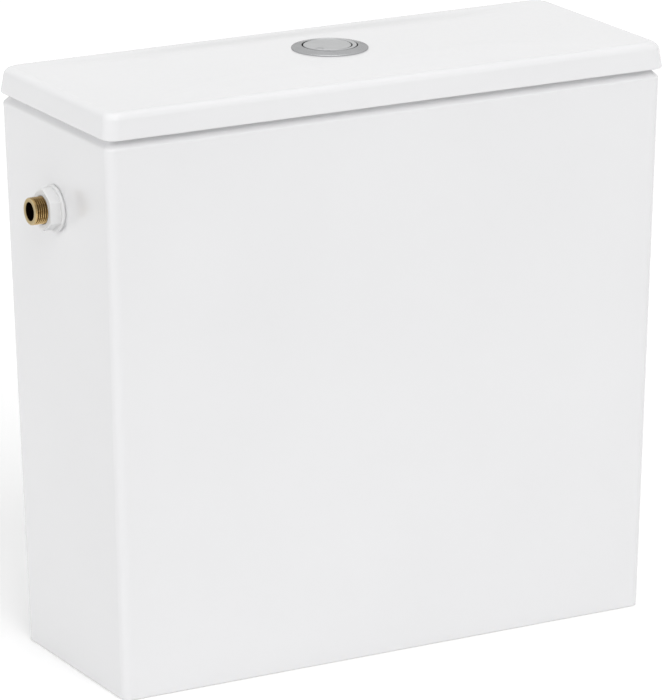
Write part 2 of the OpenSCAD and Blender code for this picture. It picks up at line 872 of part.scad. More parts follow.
module coupling_seal() {
    inner = tail_r + slide_gap;
    outer = inner + coupling_seal_w;
    top = back_nut_z - snug_gap;
    color("dimgray") rotate_extrude() polygon([
        [inner, coupling_seal_lift],
        [outer - coupling_seal_bevel, coupling_seal_lift],
        [outer, coupling_seal_lift + coupling_seal_bevel],
        [outer, top - coupling_seal_bevel / 2],
        [outer - coupling_seal_bevel / 2, top],
        [inner, top]
    ]);
}

// A pair of upright plates facing each other across the tube
module plate_pair(y, length, thick, z_low, z_high) {
    for (y_low = [y, -y - thick]) {
        translate([-length / 2, y_low, z_low]) cube([length, thick, z_high - z_low]);
    }
}

module flush_tower() {
    deck_w = 2 * (post_y + tower_wall);
    color("whitesmoke") difference() {
        union() {
            ring(flange_r, tower_in, flange_top, flange_top + tower_ring_h);
            plate_pair(post_y, post_w, tower_wall, flange_top + tower_ring_h / 2, deck_top);
            translate([-deck_half, -deck_w / 2, deck_z]) cube([2 * deck_half, deck_w, deck_t]);
            translate([0, 0, deck_z]) cylinder(h = guide_h, r = guide_in + tower_wall);
            plate_pair(cheek_y, 2 * deck_half, tower_wall, deck_z + bite, cap_z);
        }
        translate([0, 0, deck_z - cut]) cylinder(h = guide_h + 2 * cut, r = guide_in);
        for (side = [full_side, half_side]) {
            translate([side * pivot_x, 0, pivot_z])
                bar_y(lever_pin_d / 2 + pin_gap, -cap_y - cut, cap_y + cut);
        }
    }
}

module tower_cap() {
    cap_w = 2 * (cap_y + tower_wall);
    post = leg_guide + 2 * tower_wall;
    color("lightgray") difference() {
        union() {
            translate([-deck_half, -cap_w / 2, cap_z]) cube([2 * deck_half, cap_w, cap_t]);
            for (side = [full_side, half_side]) {
                translate([side * leg_x - post / 2, -post / 2, cap_z])
                    cube([post, post, cap_t + leg_guide_h]);
            }
            plate_pair(cap_y, post_w, tower_wall, cap_z - clip_h, cap_z + bite);
        }
        translate([0, 0, cap_z - cut]) cylinder(h = cap_t + 2 * cut, r = lift_disc_r + 2 * pass_gap);
        for (side = [full_side, half_side]) {
            translate([side * leg_x - leg_guide / 2, -leg_guide / 2, cap_z - cut])
                cube([leg_guide, leg_guide, cap_t + leg_guide_h + 2 * cut]);
        }
    }
}

// The pins that both levers rock on
module lever_pins() {
    reach = cheek_y + tower_wall;
    color("lightsteelblue") for (side = [full_side, half_side]) {
        translate([side * pivot_x, 0, pivot_z]) bar_y(lever_pin_d / 2, -reach, reach);
    }
}

// Plate under a push rod, with a square leg down to its lever
module flush_plate() {
    translate([plate_in, -plate_w / 2, plate_z]) cube([plate_out - plate_in, plate_w, plate_t]);
    translate([leg_x - leg_w / 2, -leg_w / 2, leg_z]) cube([leg_w, leg_w, plate_z + bite - leg_z]);
}

module full_flush_plate() {
    color("gainsboro") mirror([1, 0, 0]) flush_plate();
}

module half_flush_plate() {
    color("cornflowerblue") flush_plate();
}

// Forked lever at rest: the push bar is up and the lift tips are down beside the tube
module flush_lever() {
    reach = arm_y + arm_t;
    tip_y = collar_out + pass_gap;
    translate([pivot_x, 0, pivot_z]) rotate([0, -lever_angle, 0]) difference() {
        union() {
            for (y = [arm_y, -reach]) {
                translate([-lift_arm, y, -arm_h / 2]) cube([lift_arm + push_arm, arm_t, arm_h]);
                bar_y(boss_d / 2, y, y + arm_t);
            }
            translate([push_arm, 0, 0]) bar_y(tip_r, -reach, reach);
            translate([-lift_arm, 0, 0]) bar_y(tip_r, tip_y, reach);
            translate([-lift_arm, 0, 0]) bar_y(tip_r, -reach, -tip_y);
        }
        bar_y(lever_pin_d / 2 + pin_gap, -reach - cut, reach + cut);
    }
}

module full_flush_lever() {
    color("gainsboro") mirror([1, 0, 0]) flush_lever();
}

module half_flush_lever() {
    color("cornflowerblue") flush_lever();
}

// Half of a disc, on one side of the tube
module half_disc(side, r, z_low, z_high) {
    start = side > 0 ? pass_gap : -pass_gap - r;
    intersection() {
        translate([0, 0, z_low]) cylinder(h = z_high - z_low, r = r);
        translate([start, -r, z_low]) cube([r, 2 * r, z_high - z_low]);
    }
}

module lift_collar() {
    color("gainsboro") difference() {
        union() {
            translate([0, 0, collar_z]) cylinder(h = lift_z + collar_t - collar_z, r = collar_out);
            half_disc(full_side, lift_disc_r, lift_z, lift_z + collar_t);
        }
        translate([0, 0, collar_z - cut])
            cylinder(h = lift_z + collar_t - collar_z + 2 * cut, r = collar_in);
    }
}

module overflow_tube() {
    color("white") difference() {
        union() {
            translate([0, 0, tube_z]) cylinder(h = tube_top - tube_z, r = tube_r);
            translate([0, 0, seal_z + seal_t]) cylinder(h = seal_flange_t, r = seal_flange_d / 2);
            translate([0, 0, disc_z]) cylinder(h = lift_disc_t, r = lift_disc_r);
            difference() {
                half_disc(half_side, lift_disc_r, lift_z, disc_z + bite);
                translate([0, 0, lift_z - cut])
                    cylinder(h = disc_z - lift_z + cut, r = collar_out + slide_gap);
            }
        }
        translate([0, 0, tube_z - cut])
            cylinder(h = tube_top - tube_z + 2 * cut, r = tube_r - tube_wall);
    }
}

module valve_seal() {
    color("dimgray") ring(seal_r, tube_r + snug_gap, seal_z, seal_z + seal_t);
}

module seal_retainer() {
    color("cornflowerblue") ring(retainer_d / 2, tube_r + snug_gap, seal_z - retainer_h, seal_z);
}

// Closed ring of a float, with sloped edges
module float_ring(r_out, r_in, z_low, z_high) {
    rotate_extrude() polygon([
        [r_in, z_low],
        [r_out - float_bevel, z_low],
        [r_out, z_low + float_bevel],
        [r_out, z_high - float_bevel],
        [r_out - float_bevel, z_high],
        [r_in, z_high]
    ]);
}

module valve_float() {
    bottom = floor_z + valve_float_rise;
    color("lightgray")
        float_ring(valve_float_d / 2, tube_r + snug_gap, bottom, bottom + valve_float_h);
}

module inlet_tail() {
    thread = [
        for (i = [0 : thread_turns - 1])
            let (crest = thread_start - i * thread_pitch)
            let (flank = (thread_pitch - thread_crest) / 2)
            each [
                [thread_r, crest],
                [thread_root, crest - flank],
                [thread_r, crest - 2 * flank],
                [thread_r, crest - thread_pitch]
            ]
    ];
    last = thread_start - thread_turns * thread_pitch;
    profile = concat(
        [
            [inlet_bore_r, tail_in],
            [inlet_bore_r, thread_end],
            [thread_r - thread_bevel, thread_end],
            [thread_r, thread_end - thread_bevel]
        ],
        thread,
        [[neck_r, last], [neck_r, tail_in]]
    );
    color("goldenrod") along_inlet() rotate_extrude() polygon(profile);
}

// Flanged hexagon nut round the tail, with one corner of the hexagon pointing up
module inlet_collar() {
    corner = collar_flats / 2 / cos(30);
    inner = thread_r + thread_gap;
    plate_r = collar_flange_d / 2;
    plate_end = spot_out + collar_flange_t;
    color("white") along_inlet() difference() {
        union() {
            rotate_extrude() polygon([
                [inner - bite, spot_out],
                [plate_r, spot_out],
                [plate_r, plate_end - collar_edge_r],
                [plate_r - collar_edge_r, plate_end],
                [inner - bite, plate_end]
            ]);
            translate([0, 0, spot_out + bite]) linear_extrude(collar_end - spot_out - bite)
                polygon([for (i = [0 : 5]) corner * [cos(i * 60), sin(i * 60)]]);
        }
        translate([0, 0, spot_out - cut]) cylinder(h = collar_end - spot_out + 2 * cut, r = inner);
    }
}

module inlet_gasket() {
    color("dimgray") difference() {
        inlet_disc(shank_flange_d / 2, shank_face, spot_in);
        inlet_disc(neck_r + snug_gap, shank_face - cut, spot_in + cut);
    }
}

// Cup-shaped strainer inside the tail
module inlet_filter() {
    outer = inlet_bore_r - snug_gap;
    far = thread_end - filter_inset;
    color("dimgray") difference() {
        inlet_disc(outer, far - filter_l, far);
        inlet_disc(outer - filter_wall, far - filter_l + filter_wall, far + cut);
    }
}

module fill_valve_body() {
    shank_end = spot_in - head_offset;
    color("whitesmoke") difference() {
        union() {
            inlet_disc(shank_flange_d / 2, shank_face - shank_flange_t, shank_face);
            inlet_disc(shank_d / 2, -outlet_x, shank_face);
            translate([head_x, inlet_y, inlet_z - head_depth])
                cylinder(h = head_rise + head_depth, r = head_r);
            translate([outlet_x, inlet_y, outlet_pipe_z])
                cylinder(h = outlet_pipe_l + shank_d / 2, r = outlet_pipe_d / 2);
        }
        inlet_disc(neck_r + snug_gap, tail_in - snug_gap, shank_face + cut);
        inlet_disc(inlet_bore_r, shank_end, tail_in);
        translate([head_x, inlet_y, inlet_z]) cylinder(h = head_rise + cut, r = inlet_bore_r);
        translate([outlet_x, inlet_y, outlet_pipe_z - cut])
            cylinder(h = silencer_grip + cut, r = silencer_r + snug_gap);
        translate([outlet_x, inlet_y, outlet_pipe_z]) cylinder(h = outlet_pipe_l, r = inlet_bore_r);
    }
}

module diaphragm() {
    color("dimgray") translate([head_x, inlet_y, head_top]) cylinder(h = diaphragm_t, r = head_r);
}

// Cap over the diaphragm, with grip ribs, the pilot nozzle and the lugs for the float lever's pin
module fill_valve_cap() {
    skirt = head_top - valve_cap_skirt;
    ear_top = float_pin_z + ear_w / 2;
    rib_count = 16;
    rib_r = 0.8;
    color("cornflowerblue") translate([head_x, inlet_y, 0]) difference() {
        union() {
            translate([0, 0, skirt]) cylinder(h = valve_cap_top - skirt, r = valve_cap_r);
            translate([0, 0, valve_cap_top - bite]) cylinder(h = nozzle_h + bite, r = nozzle_d / 2);
            for (i = [0 : rib_count - 1]) {
                rotate([0, 0, i * 360 / rib_count]) translate([valve_cap_r, 0, skirt])
                    cylinder(h = valve_cap_top - skirt - bite, r = rib_r);
            }
            for (y = [ear_y, -ear_y - ear_t]) {
                translate([pilot_arm - ear_w / 2, y, valve_cap_top - bite])
                    cube([ear_w, ear_t, ear_top - valve_cap_top + bite]);
            }
        }
        translate([0, 0, skirt - cut]) cylinder(h = valve_cap_z - skirt + cut, r = head_r + snug_gap);
        translate([pilot_arm, 0, float_pin_z])
            bar_y(float_pin_d / 2 + pin_gap, -ear_y - ear_t - cut, ear_y + ear_t + cut);
    }
}

module silencer_tube() {
    top = outlet_pipe_z + silencer_grip - snug_gap;
    color("whitesmoke") translate([outlet_x, inlet_y, 0])
        ring(silencer_r, silencer_r - silencer_wall, floor_z + silencer_lift, top);
}

// Upturned cup that slides on the silencer tube, with a socket for the float rod
module fill_float() {
    hollow_top = float_top - float_wall - float_bevel;
    color("whitesmoke") translate([outlet_x, inlet_y, 0]) difference() {
        union() {
            float_ring(float_r, float_in, float_z, float_top);
            translate([rod_offset, 0, float_top - bite])
                cylinder(h = socket_h + bite, r = socket_d / 2);
        }
        ring(float_r - float_wall, float_in + float_wall, float_z - cut, hollow_top);
        translate([rod_offset, 0, float_top]) cylinder(h = socket_h + cut, r = float_rod_r + snug_gap);
    }
}

// Rod with the stop that the lever's fork rests on
module float_rod() {
    color("cornflowerblue") translate([float_rod_x, inlet_y, 0]) {
        translate([0, 0, float_top]) cylinder(h = adjuster_z + adjuster_h - float_top, r = float_rod_r);
        translate([0, 0, stop_top - stop_t]) cylinder(h = stop_t, r = stop_d / 2);
    }
}

// Knob on the rod that sets the water level
module level_adjuster() {
    color("gold") translate([float_rod_x, inlet_y, 0])
        ring(stop_d / 2, float_rod_r + snug_gap, adjuster_z, adjuster_z + adjuster_h);
}

// Lever at rest: the fork on the float rod is down and the pad over the nozzle is up
module float_lever() {
    fork_start = float_arm - prong_l;
    color("cornflowerblue") translate([float_pin_x, inlet_y, float_pin_z]) rotate([0, float_angle, 0])
        difference() {
            union() {
                translate([-pilot_arm - nozzle_d / 2, -float_lever_w / 2, -float_lever_t / 2])
                    cube([pilot_arm + nozzle_d / 2 + fork_start, float_lever_w, float_lever_t]);
                bar_y(float_lever_t / 2 + pass_gap, -float_lever_w / 2, float_lever_w / 2);
                for (y = [fork_y, -fork_y - prong_w]) {
                    translate([fork_start - bite, y, -prong_t / 2])
                        cube([prong_l + bite, prong_w, prong_t]);
                    translate([float_arm, 0, 0]) bar_y(fork_tip_r, y, y + prong_w);
                }
            }
            bar_y(float_pin_d / 2 + pin_gap, -float_lever_w, float_lever_w);
        }
}

module float_lever_pin() {
    reach = ear_y + ear_t;
    color("lightsteelblue") translate([float_pin_x, inlet_y, float_pin_z])
        bar_y(float_pin_d / 2, -reach, reach);
}

tank();
lid();
button_bezel();
button_gasket();
button_nut();
full_flush_button();
full_flush_rod();
full_flush_spring();
half_flush_button();
half_flush_rod();
half_flush_spring();
valve_base();
valve_base_gasket();
back_nut();
coupling_seal();
flush_tower();
tower_cap();
lever_pins();
full_flush_plate();
full_flush_lever();
half_flush_plate();
half_flush_lever();
lift_collar();
overflow_tube();
valve_seal();
seal_retainer();
valve_float();
inlet_tail();
inlet_collar();
inlet_gasket();
inlet_filter();
fill_valve_body();
fill_valve_cap();
diaphragm();
silencer_tube();
fill_float();
float_rod();
level_adjuster();
float_lever();
float_lever_pin();
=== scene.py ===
"""Looks of a close-coupled toilet cistern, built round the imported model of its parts.

Sizes are millimetres in the part's own frame: X runs across the tank, the front faces -Y, the water inlet
faces -X and Z is up from the base. Blender works in metres, so every mesh is scaled once, when it is made.
"""

import json
import logging
import math
from collections.abc import Callable
from dataclasses import dataclass, field
from enum import Enum
from typing import Protocol

import bmesh
import bpy
from mathutils import Matrix, Vector


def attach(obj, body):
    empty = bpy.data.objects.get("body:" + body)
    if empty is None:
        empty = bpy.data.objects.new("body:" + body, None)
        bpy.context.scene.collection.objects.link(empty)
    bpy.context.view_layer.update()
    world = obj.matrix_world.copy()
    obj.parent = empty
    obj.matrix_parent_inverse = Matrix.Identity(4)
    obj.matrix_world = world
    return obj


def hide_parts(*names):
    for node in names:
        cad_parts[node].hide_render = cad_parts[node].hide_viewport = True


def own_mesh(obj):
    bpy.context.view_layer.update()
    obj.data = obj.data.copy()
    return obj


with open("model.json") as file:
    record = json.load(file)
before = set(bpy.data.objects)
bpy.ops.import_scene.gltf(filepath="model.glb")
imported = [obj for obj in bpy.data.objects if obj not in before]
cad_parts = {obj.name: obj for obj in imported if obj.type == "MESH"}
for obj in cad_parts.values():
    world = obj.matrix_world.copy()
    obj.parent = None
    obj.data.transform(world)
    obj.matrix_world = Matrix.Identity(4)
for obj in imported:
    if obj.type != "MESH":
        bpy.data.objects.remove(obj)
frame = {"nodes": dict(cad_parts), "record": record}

Pair = tuple[float, float]
Point = tuple[float, float, float]
Row = Callable[[float], Pair]
Ring = list[int]
Level = float | tuple[float, ...]
Socket = bpy.types.NodeSocket

MM = 0.001
FULL_TURN = 2 * math.pi
UPWARDS: Point = (0, 0, 1)
INLET_Y = -4.4
INLET_Z = 291.1
CREASE_DEG = 38.0
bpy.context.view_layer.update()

log = logging.getLogger("cistern")


class Body(Enum):
    """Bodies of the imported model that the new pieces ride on."""

    TANK = "tank"
    LID = "lid"
    FULL_BUTTON = "full_button"
    HALF_BUTTON = "half_button"
    VALVE = "valve"
    FLOAT = "float"


class Slot(Enum):
    """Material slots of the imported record."""

    CERAMIC = "glazed_ceramic"
    CHROME = "chromed_plastic"
    BRASS = "brass"
    WHITE = "white_plastic"
    GREY = "grey_plastic"
    BLUE = "blue_plastic"
    BLACK = "black_plastic"
    RUBBER = "rubber"
    STEEL = "spring_steel"


# Colours and shader nodes


def linear(hex_colour: str) -> tuple[float, float, float, float]:
    """Turns an sRGB hex colour into linear light.

    Args:
        hex_colour: Colour such as "#f0f0ee".

    Returns:
        Red, green, blue and alpha for a shader socket.
    """
    parts = [int(hex_colour[i : i + 2], 16) / 255 for i in (1, 3, 5)]
    light = [c / 12.92 if c <= 0.04045 else ((c + 0.055) / 1.055) ** 2.4 for c in parts]
    return light[0], light[1], light[2], 1.0


def add_node(
    tree: bpy.types.NodeTree,
    kind: str,
    inputs: dict[str | int, Level | Socket] | None = None,
    **settings: str,
) -> bpy.types.Node:
    """Adds one shader node with its settings, values and links.

    Args:
        tree: Node tree that takes the node.
        kind: Blender's name for the node type.
        inputs: Input name or index to a value, or to the output socket that is linked there.
        settings: Properties of the node itself.

    Returns:
        The new node.
    """
    node = tree.nodes.new(kind)
    for name, value in settings.items():
        setattr(node, name, value)
    for key, value in (inputs or {}).items():
        if isinstance(value, Socket):
            tree.links.new(value, node.inputs[key])
        else:
            node.inputs[key].default_value = value
    return node


@dataclass
class Surface:
    """The nodes of one material, with the ways in which a pattern runs into its principled shader."""

    tree: bpy.types.NodeTree
    shader: bpy.types.Node

    # Sockets of a mix node that take part in a mix of colours.
    SHARE, FIRST_COLOUR, SECOND_COLOUR, MIXED_COLOUR = 0, 6, 7, 2

    def patches(self, size_mm: float, detail: float = 2.0) -> Socket:
        """Makes an uneven pattern in the part's own frame.

        Args:
            size_mm: Width of one patch.
            detail: Levels of finer patches on top.

        Returns:
            The pattern, from 0 to 1.
        """
        place = add_node(self.tree, "ShaderNodeTexCoord").outputs["Object"]
        values = {"Vector": place, "Scale": 1 / (size_mm * MM), "Detail": detail}
        return add_node(self.tree, "ShaderNodeTexNoise", values).outputs["Fac"]

    def tint(self, share: Socket, first: str, second: str) -> None:
        """Mixes two colours into the shader's base colour.

        Args:
            share: How much of the second colour shows.
            first: First colour.
            second: Second colour.
        """
        colours = {self.SHARE: share, self.FIRST_COLOUR: linear(first), self.SECOND_COLOUR: linear(second)}
        mixed = add_node(self.tree, "ShaderNodeMix", colours, data_type="RGBA")
        self.tree.links.new(mixed.outputs[self.MIXED_COLOUR], self.shader.inputs["Base Color"])

    def spread(self, share: Socket, levels: Pair) -> None:
        """Runs the shader's roughness between two levels.

        Args:
            share: Pattern from 0 to 1.
            levels: Roughness where the pattern is 0 and where it is 1.
        """
        values = {"Value": share, "To Min": levels[0], "To Max": levels[1]}
        span = add_node(self.tree, "ShaderNodeMapRange", values)
        self.tree.links.new(span.outputs["Result"], self.shader.inputs["Roughness"])

    def emboss(self, layers: list[tuple[Socket, float]]) -> None:
        """Stacks height patterns into the shader's normal.

        Args:
            layers: Height patterns from 0 to 1, each with its depth in millimetres.
        """
        normal = None
        for height, depth_mm in layers:
            values = {"Height": height, "Distance": depth_mm * MM}
            if normal is not None:
                values["Normal"] = normal
            normal = add_node(self.tree, "ShaderNodeBump", values).outputs["Normal"]
        self.tree.links.new(normal, self.shader.inputs["Normal"])

    def fix(self, levels: dict[str, Level]) -> None:
        """Sets inputs of the shader that are the same all over the surface.

        Args:
            levels: Name of each input with its value.
        """
        for name, level in levels.items():
            self.shader.inputs[name].default_value = level


# Finishes


@dataclass(frozen=True)
class Finish:
    """A material on the principled shader, named for what it is and how its surface was made."""

    name: str

    def build(self) -> bpy.types.Material:
        """Makes the material on the first call.

        Returns:
            The material.
        """
        material = bpy.data.materials.get(self.name)
        if material is None:
            material = bpy.data.materials.new(self.name)
            material.use_nodes = True
            tree = material.node_tree
            self.dress(Surface(tree, tree.nodes["Principled BSDF"]))
        return material

    def dress(self, surface: Surface) -> None:
        """Sets up the shader; each finish has its own way.

        Args:
            surface: Nodes of the material.
        """
        raise NotImplementedError


@dataclass(frozen=True)
class GlazedChina(Finish):
    """Vitreous china, slip cast and fired under a white glaze.

    It gives the eye a deep even white under a hard clear gloss. Slow waves left by the plaster mould and a
    faint orange peel in the glaze keep every reflection from being quite straight.
    """

    name: str = "glazed_vitreous_china"
    thick_glaze: str = "#ebebec"
    thin_glaze: str = "#e6e6e7"
    pool_mm: float = 120.0
    wave_mm: float = 80.0
    wave_depth_mm: float = 0.05
    peel_mm: float = 3.0
    peel_depth_mm: float = 0.002
    rough: Pair = (0.22, 0.28)

    def dress(self, surface: Surface) -> None:
        """Sets a white body under a clear coat.

        Args:
            surface: Nodes of the material.
        """
        pool, wave = surface.patches(self.pool_mm), surface.patches(self.wave_mm, detail=0.0)
        peel = surface.patches(self.peel_mm, detail=1.0)
        surface.tint(pool, self.thick_glaze, self.thin_glaze)
        surface.spread(peel, self.rough)
        surface.emboss([(wave, self.wave_depth_mm), (peel, self.peel_depth_mm)])
        surface.fix({"IOR": 1.52, "Coat Weight": 0.4, "Coat Roughness": 0.12, "Coat IOR": 1.5})


@dataclass(frozen=True)
class Biscuit(Finish):
    """Unglazed vitreous china on the foot, wiped clean before firing.

    It gives the eye a dull chalky cream with a fine sandy grain. The grain is drawn coarser than the real
    tenth of a millimetre, so that it shows.
    """

    name: str = "unglazed_china_biscuit"
    light: str = "#e9e5dc"
    dark: str = "#dcd6ca"
    grain_mm: float = 0.8
    grain_depth_mm: float = 0.03
    rough: Pair = (0.7, 0.85)

    def dress(self, surface: Surface) -> None:
        """Sets a dull grained body.

        Args:
            surface: Nodes of the material.
        """
        grain = surface.patches(self.grain_mm, detail=3.0)
        surface.tint(grain, self.light, self.dark)
        surface.spread(grain, self.rough)
        surface.emboss([(grain, self.grain_depth_mm)])


@dataclass(frozen=True)
class PlatedChrome(Finish):
    """Chrome plated on moulded ABS with a satin dip.

    It gives the eye a neutral mid grey that mirrors its surroundings softly, with faint drifts in the gloss.
    The satin grain is drawn coarser than the real few hundredths of a millimetre, so that it shows.
    """

    name: str = "satin_chrome_plated_abs"
    bright: str = "#b8b9ba"
    dull: str = "#adaeaf"
    rough: float = 0.2
    edge: str = "#dbdbdb"
    rough_drift: float = 0.05
    drift_mm: float = 9.0
    grain_mm: float = 0.35
    grain_depth_mm: float = 0.004

    def dress(self, surface: Surface) -> None:
        """Sets a satin metal.

        Args:
            surface: Nodes of the material.
        """
        drift, grain = surface.patches(self.drift_mm), surface.patches(self.grain_mm, detail=1.0)
        surface.tint(drift, self.bright, self.dull)
        surface.spread(drift, (self.rough - self.rough_drift, self.rough + self.rough_drift))
        surface.emboss([(grain, self.grain_depth_mm)])
        surface.fix({"Metallic": 1.0, "Specular Tint": linear(self.edge)})


@dataclass(frozen=True)
class TurnedBrass(Finish):
    """Brass bar, turned and threaded on a lathe.

    It gives the eye pale gold on the crests and the end face, brown in the thread's roots and the bore where
    cutting oil has tarnished it, and fine turning marks round the axis. Its upper side carries painted shade:
    above the axis the colour is mixed towards the brown, a stand-in for a darker reflection there. The marks
    are drawn coarser than the real tenth of a millimetre, so that they show.
    """

    name: str = "turned_brass"
    polished: str = "#d0b27c"
    tarnished: str = "#392911"
    # Strength and height span of the painted shade on the upper side, a stand-in for a darker reflection.
    painted_top_shade: float = 0.5
    painted_top_shade_mm: Pair = (-1.0, 4.5)
    axis_y_mm: float = INLET_Y
    axis_z_mm: float = INLET_Z
    root_mm: float = 7.3
    crest_mm: float = 8.3
    mark_mm: float = 1.0
    mark_depth_mm: float = 0.004
    mark_wander: float = 0.6
    rough: Pair = (0.2, 0.42)

    # A wave node turns this far, in radians, for each unit of its scale.
    WAVE_RATE = 20.0

    def dress(self, surface: Surface) -> None:
        """Sets a metal that darkens towards the thread's root, with painted shade on its upper side.

        Args:
            surface: Nodes of the material.
        """
        tree = surface.tree
        place = add_node(tree, "ShaderNodeTexCoord").outputs["Object"]
        ends = {0: place, 1: (0.0, self.axis_y_mm * MM, self.axis_z_mm * MM)}
        away = add_node(tree, "ShaderNodeVectorMath", ends, operation="SUBTRACT").outputs["Vector"]
        flat = {0: away, 1: (0.0, 1.0, 1.0)}
        across = add_node(tree, "ShaderNodeVectorMath", flat, operation="MULTIPLY").outputs["Vector"]
        radius = add_node(tree, "ShaderNodeVectorMath", {0: across}, operation="LENGTH").outputs["Value"]
        depth = {"Value": radius, "From Min": self.crest_mm * MM, "From Max": self.root_mm * MM}
        worn = add_node(tree, "ShaderNodeMapRange", depth).outputs["Result"]
        # Painted shade: above the axis the colour is mixed towards the brown, standing in for the upper
        # side's darker reflection.
        rise = add_node(tree, "ShaderNodeSeparateXYZ", {0: away}).outputs["Z"]
        low, high = (edge * MM for edge in self.painted_top_shade_mm)
        painted_top_shade_span = {"Value": rise, "From Min": low, "From Max": high, "To Max": self.painted_top_shade}
        dull = add_node(tree, "ShaderNodeMapRange", painted_top_shade_span, interpolation_type="SMOOTHSTEP").outputs[0]
        shade = add_node(tree, "ShaderNodeMath", {0: worn, 1: dull}, operation="MAXIMUM").outputs[0]
        surface.tint(shade, self.polished, self.tarnished)
        surface.spread(shade, self.rough)
        rings_per_metre = FULL_TURN / (self.WAVE_RATE * self.mark_mm * MM)
        rings = {"Vector": place, "Scale": rings_per_metre, "Distortion": self.mark_wander}
        marks = add_node(tree, "ShaderNodeTexWave", rings, bands_direction="X").outputs["Fac"]
        surface.emboss([(marks, self.mark_depth_mm)])
        surface.fix({"Metallic": 1.0})


@dataclass(frozen=True)
class MouldedPlastic(Finish):
    """Injection-moulded plastic in one colour.

    It gives the eye an even colour with faint flow clouds, a soft sheen and the fine grain of a spark-eroded
    mould. The grain is drawn coarser than the real few hundredths of a millimetre, so that it shows.
    """

    name: str = "moulded_white_abs"
    colour: str = "#e6e6e6"
    cloud: str = "#e1e1e1"
    rough: float = 0.32
    rough_drift: Pair = (-0.05, 0.06)
    cloud_mm: float = 18.0
    grain_mm: float = 0.5
    grain_depth_mm: float = 0.006

    def dress(self, surface: Surface) -> None:
        """Sets a soft-gloss plastic.

        Args:
            surface: Nodes of the material.
        """
        cloud, grain = surface.patches(self.cloud_mm), surface.patches(self.grain_mm, detail=1.0)
        surface.tint(cloud, self.colour, self.cloud)
        surface.spread(cloud, (self.rough + self.rough_drift[0], self.rough + self.rough_drift[1]))
        surface.emboss([(grain, self.grain_depth_mm)])
        surface.fix({"IOR": 1.49})


@dataclass(frozen=True)
class DrawnSteel(Finish):
    """Stainless wire and pins, drawn through a die.

    It gives the eye a bright warm grey with dull patches of drawing soap.
    """

    name: str = "drawn_stainless_steel"
    bright: str = "#c9c7c1"
    dull: str = "#aaa9a4"
    patch_mm: float = 1.5
    patch_depth_mm: float = 0.002
    rough: Pair = (0.2, 0.36)

    def dress(self, surface: Surface) -> None:
        """Sets a bright metal.

        Args:
            surface: Nodes of the material.
        """
        patch = surface.patches(self.patch_mm, detail=3.0)
        surface.tint(patch, self.bright, self.dull)
        surface.spread(patch, self.rough)
        surface.emboss([(patch, self.patch_depth_mm)])
        surface.fix({"Metallic": 1.0})


CHINA = GlazedChina()
BISCUIT = Biscuit()
# Plated bright, without the satin dip: the buttons mirror the room more sharply than the bezel does.
BRIGHT_CHROME = PlatedChrome("bright_chrome_plated_abs", dull="#b0b1b2", rough=0.14, edge="#f4f4f4")
BRASS = TurnedBrass()
# Faced on the lathe last of all: the tail's end is a pale clean gold with hardly any tarnish.
FACED_BRASS = TurnedBrass("faced_brass", polished="#c0af88", tarnished="#b2a078")
# Moulded rubber takes on more of the mould's grain, which leaves it a soft black and nearly matt.
RUBBER = MouldedPlastic("moulded_black_rubber", "#232325", "#1c1c1e", rough=0.62, grain_depth_mm=0.012)
SLOT_FINISH: dict[Slot, Finish] = {
    Slot.CERAMIC: CHINA,
    Slot.CHROME: PlatedChrome(),
    Slot.BRASS: BRASS,
    Slot.WHITE: MouldedPlastic(),
    # Polypropylene is waxier than ABS, which gives it a duller sheen.
    Slot.GREY: MouldedPlastic("moulded_grey_polypropylene", "#b4b6b8", "#acaeb0", rough=0.4),
    Slot.BLUE: MouldedPlastic("moulded_blue_polypropylene", "#3f74b5", "#396ba9", rough=0.38),
    Slot.BLACK: MouldedPlastic("moulded_black_polypropylene", "#1b1a19", "#151413", rough=0.5),
    Slot.RUBBER: RUBBER,
    Slot.STEEL: DrawnSteel(),
}


# Mesh making


def curve(start_deg: float, stop_deg: float, steps: int) -> list[float]:
    """Returns evenly spaced angles in radians, both ends included."""
    return [math.radians(start_deg + (stop_deg - start_deg) * i / steps) for i in range(steps + 1)]


def bend(size: float, start_deg: float, stop_deg: float, steps: int) -> list[Pair]:
    """Returns how far a rounded edge stays behind its first and its second face, at even angles."""
    return [(size * (1 - math.sin(a)), size * (1 - math.cos(a))) for a in curve(start_deg, stop_deg, steps)]


def smooth(share: float) -> float:
    """Returns a share kept between 0 and 1, with a soft start and stop."""
    share = min(max(share, 0.0), 1.0)
    return share * share * (3 - 2 * share)


def crease(mesh: bpy.types.Mesh, angle_deg: float) -> None:
    """Makes a mesh smooth but for the edges that are sharper than an angle."""
    mesh.polygons.foreach_set("use_smooth", [True] * len(mesh.polygons))
    mesh.set_sharp_from_angle(angle=math.radians(angle_deg))


